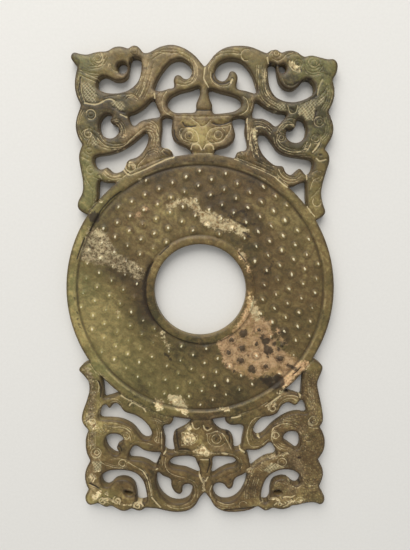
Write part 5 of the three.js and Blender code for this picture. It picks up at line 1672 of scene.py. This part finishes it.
for amount, colour in (
        # hollows darkened: dirt and painted shade
        (hollow_dirt_and_shade * 0.5, rgb(66, 52, 28)),
        # ring round each boss: dirt and painted shade
        (boss_ring_dirt_and_shade_mask * 0.42, rgb(52, 42, 22)),
        # edges darkened: dirt and painted shade
        (edge_dirt_and_shade, rgb(62, 47, 27)),
        # darker ring at the foot of the outer rim: dirt and painted shade
        (ring(RIM_FOOT, 0.75) * between(brighter, -0.7, 0.5) * 0.6, rgb(50, 38, 20)),
        # painted highlight on the crown of the outer rim
        (ring(RIM_CROWN, 0.5) * between(brighter, -0.5, 0.8) * 0.45, rgb(168, 152, 108)),
        # line inside the edges: wear and painted highlight
        (edge_wear_and_highlight * 0.28, rgb(158, 138, 98)),
        # the walls painted a little lighter: painted light
        (wall * 0.2, rgb(150, 130, 92)),
        # dark stains, and painted shade in the mouth holes and above one opening
        (dark_stain_and_shade_here * 0.88, rgb(44, 33, 18)),
        # dark lines: dirt and painted shade
        (line_dirt_and_shade * 0.9, rgb(36, 26, 13)),
        (cream_line * (0.75 - 0.32 * fresh), line_colour)):
    stone = blend(amount, stone, colour)
print(len(shader.tree.nodes), "nodes with dirt and deposit")

# %% [markdown]
# ## Nets, pebbles and painted glints on the boss tips
#
# A net is two sets of even lines that cross, each the distance to the nearest multiple of its
# pitch. The pebbles are the cells of a Voronoi pattern. Both are too fine to be worth the
# triangles, so they are colour and a slight bump, the pebbles with painted shade between them and
# painted light on some. The tips of the bosses get a painted glint, partly pale wear.

# %% Nets, pebbles and painted glints on the tips
NET_PITCH = 1.4
PEBBLE_SIZE = 1.15
x_mm = shader.node("ShaderNodeSeparateXYZ", {}, {0: place}, "X")
y_mm = shader.node("ShaderNodeSeparateXYZ", {}, {0: place}, "Y")
one_way = shader.math("PINGPONG", x_mm + 0.8 * y_mm + 0.35 * mottle, 0.5 * NET_PITCH)
other_way = shader.math("PINGPONG", x_mm - 1.1 * y_mm + 0.35 * ragged, 0.5 * NET_PITCH)
net_line = 1 - between(shader.math("MINIMUM", one_way, other_way), 0.05, 0.22)
net_here = between(attribute("net_depth") + 0.8 * ragged + 0.6 * mottle, -0.3, 0.9)

cells = shader.node("ShaderNodeTexVoronoi", {"feature": "DISTANCE_TO_EDGE"}, {
    "Vector": place, "Scale": 1 / PEBBLE_SIZE, "Randomness": 0.85})
pebble = between(cells + 0.12 * grain, 0.06, 0.3)
pebble_here = between(attribute("pebble_depth") + mottle, -0.6, 0.8) * on_crest
lit_pebble = pebble * between(speck, -0.3, 0.8)

# painted glint on the boss tips, partly pale wear
tip_wear_and_glint = between(attribute("boss_tip_polish_and_glint") + 0.4 * grain + 0.3 * mottle, 0.45, 0.85)
for amount, colour in (
        (net_here * 0.55, rgb(144, 132, 96)),
        (net_here * (1 - net_line) * 0.4, rgb(62, 52, 30)),
        (net_here * net_line * 0.5, rgb(194, 182, 142)),
        # painted shade between the grains, and painted light on some of them
        (pebble_here * (1 - pebble) * 0.5, rgb(58, 44, 24)),
        (pebble_here * lit_pebble * 0.22, rgb(166, 142, 100)),
        # boss tips: painted glint, partly wear
        (tip_wear_and_glint * (1 - dark_stain_and_shade_here) * 0.8, rgb(226, 216, 180))):
    stone = blend(amount, stone, colour)
print(len(shader.tree.nodes), "nodes with nets and pebbles")

# %% [markdown]
# ## The surface
#
# Polished jade is waxy rather than glassy. Altered stone is duller, and slightly pitted. Rubbed
# tips are glossier. A little light goes under the surface, as it does in jade.

# %% The surface
altered = shader.larger(shader.larger(tan_here, crust_here), shader.larger(cream_here, cream_line))
roughness = 0.5 + 0.2 * altered + 0.08 * mottle + 0.06 * grain - 0.26 * attribute("boss_tip_polish_and_glint")
pits = noise(place, 0.55, 3, 0.6)
bumps = 0.3 * mottle + 0.22 * pits + altered * pits * 0.4 + 0.1 * fleck
bumps = bumps + 0.5 * pebble_here * pebble - 0.35 * net_here * net_line
normal = shader.node("ShaderNodeBump", {}, {
    "Strength": 0.6, "Distance": 0.2 * MM, "Height": bumps})

surface = shader.node("ShaderNodeBsdfPrincipled", {}, {
    "Base Color": stone, "Roughness": roughness, "Normal": normal, "IOR": 1.5,
    "Specular IOR Level": 0.36, "Subsurface Weight": 0.08, "Subsurface Scale": 1.5 * MM})
shader.node("ShaderNodeOutputMaterial", {}, {"Surface": surface})
mesh.materials.append(shader.material)
print(len(shader.tree.nodes), "shader nodes in the jade")

# %% [markdown]
# ## The stage
#
# A plain pale table, a broad soft sky and one large key light far beyond the top crest, low enough
# for the bosses and cut edges to catch it. The camera looks down on the disc from a hand's breadth
# above it, a little above its middle and tipped back towards it.

# %% The stage
TABLE_SIZE = 3.0  # metres
CAMERA_PLACE = (2.05, 23.8, THICKNESS + 178.2)  # mm
CAMERA_TILT = -5.5  # degrees about X
CAMERA_LENS = 28.15  # mm, with a sensor 36 mm wide
KEY_PLACE = (-260, 1100, 880)  # mm
KEY_SIZE = 1500  # mm across, so that its shadows are soft
KEY_POWER = 28.0  # watts
SKY_COLOUR = (0.96, 0.98, 1.0, 1.0)
SKY_STRENGTH = 0.54

half = TABLE_SIZE / 2
floor_mesh = bpy.data.meshes.new("table_top")
floor_corners = [(-half, -half, 0), (half, -half, 0), (half, half, 0), (-half, half, 0)]
floor_mesh.from_pydata(floor_corners, [], [(0, 1, 2, 3)])
floor = bpy.data.objects.new("table_top", floor_mesh)
bpy.context.collection.objects.link(floor)

paper = Graph("pale_paper")
paper_place = paper.node("ShaderNodeTexCoord", output="Object")
fibre = paper.node("ShaderNodeTexNoise", {}, {"Vector": paper_place, "Scale": 900.0, "Detail": 3.0})
paper_colour = paper.blend(fibre, rgb(208, 206, 201), rgb(216, 214, 209))
paper_surface = paper.node("ShaderNodeBsdfPrincipled", {}, {
    "Base Color": paper_colour, "Roughness": 0.85})
paper.node("ShaderNodeOutputMaterial", {}, {"Surface": paper_surface})
floor_mesh.materials.append(paper.material)

world = bpy.data.worlds.new("soft_sky")
world.use_nodes = True
world.node_tree.nodes["Background"].inputs["Color"].default_value = SKY_COLOUR
world.node_tree.nodes["Background"].inputs["Strength"].default_value = SKY_STRENGTH
bpy.context.scene.world = world

key = bpy.data.lights.new("key_light", "AREA")
key.shape = "DISK"
key.size = KEY_SIZE * MM
key.energy = KEY_POWER
key.color = (1.0, 0.98, 0.95)
key_object = bpy.data.objects.new("key_light", key)
key_object.location = Vector(KEY_PLACE) * MM
key_object.rotation_euler = (-Vector(KEY_PLACE)).to_track_quat("-Z", "Y").to_euler()
bpy.context.collection.objects.link(key_object)

camera = bpy.data.cameras.new("camera")
camera.sensor_width = 36
camera.lens = CAMERA_LENS
camera.clip_start = 0.01
camera_object = bpy.data.objects.new("camera", camera)
camera_object.location = Vector(CAMERA_PLACE) * MM
camera_object.rotation_euler = (math.radians(CAMERA_TILT), 0, 0)
bpy.context.collection.objects.link(camera_object)
bpy.context.scene.camera = camera_object
bpy.context.scene.view_settings.view_transform = "Standard"
print("camera", round(CAMERA_PLACE[2] - THICKNESS, 1), "mm above the disc")
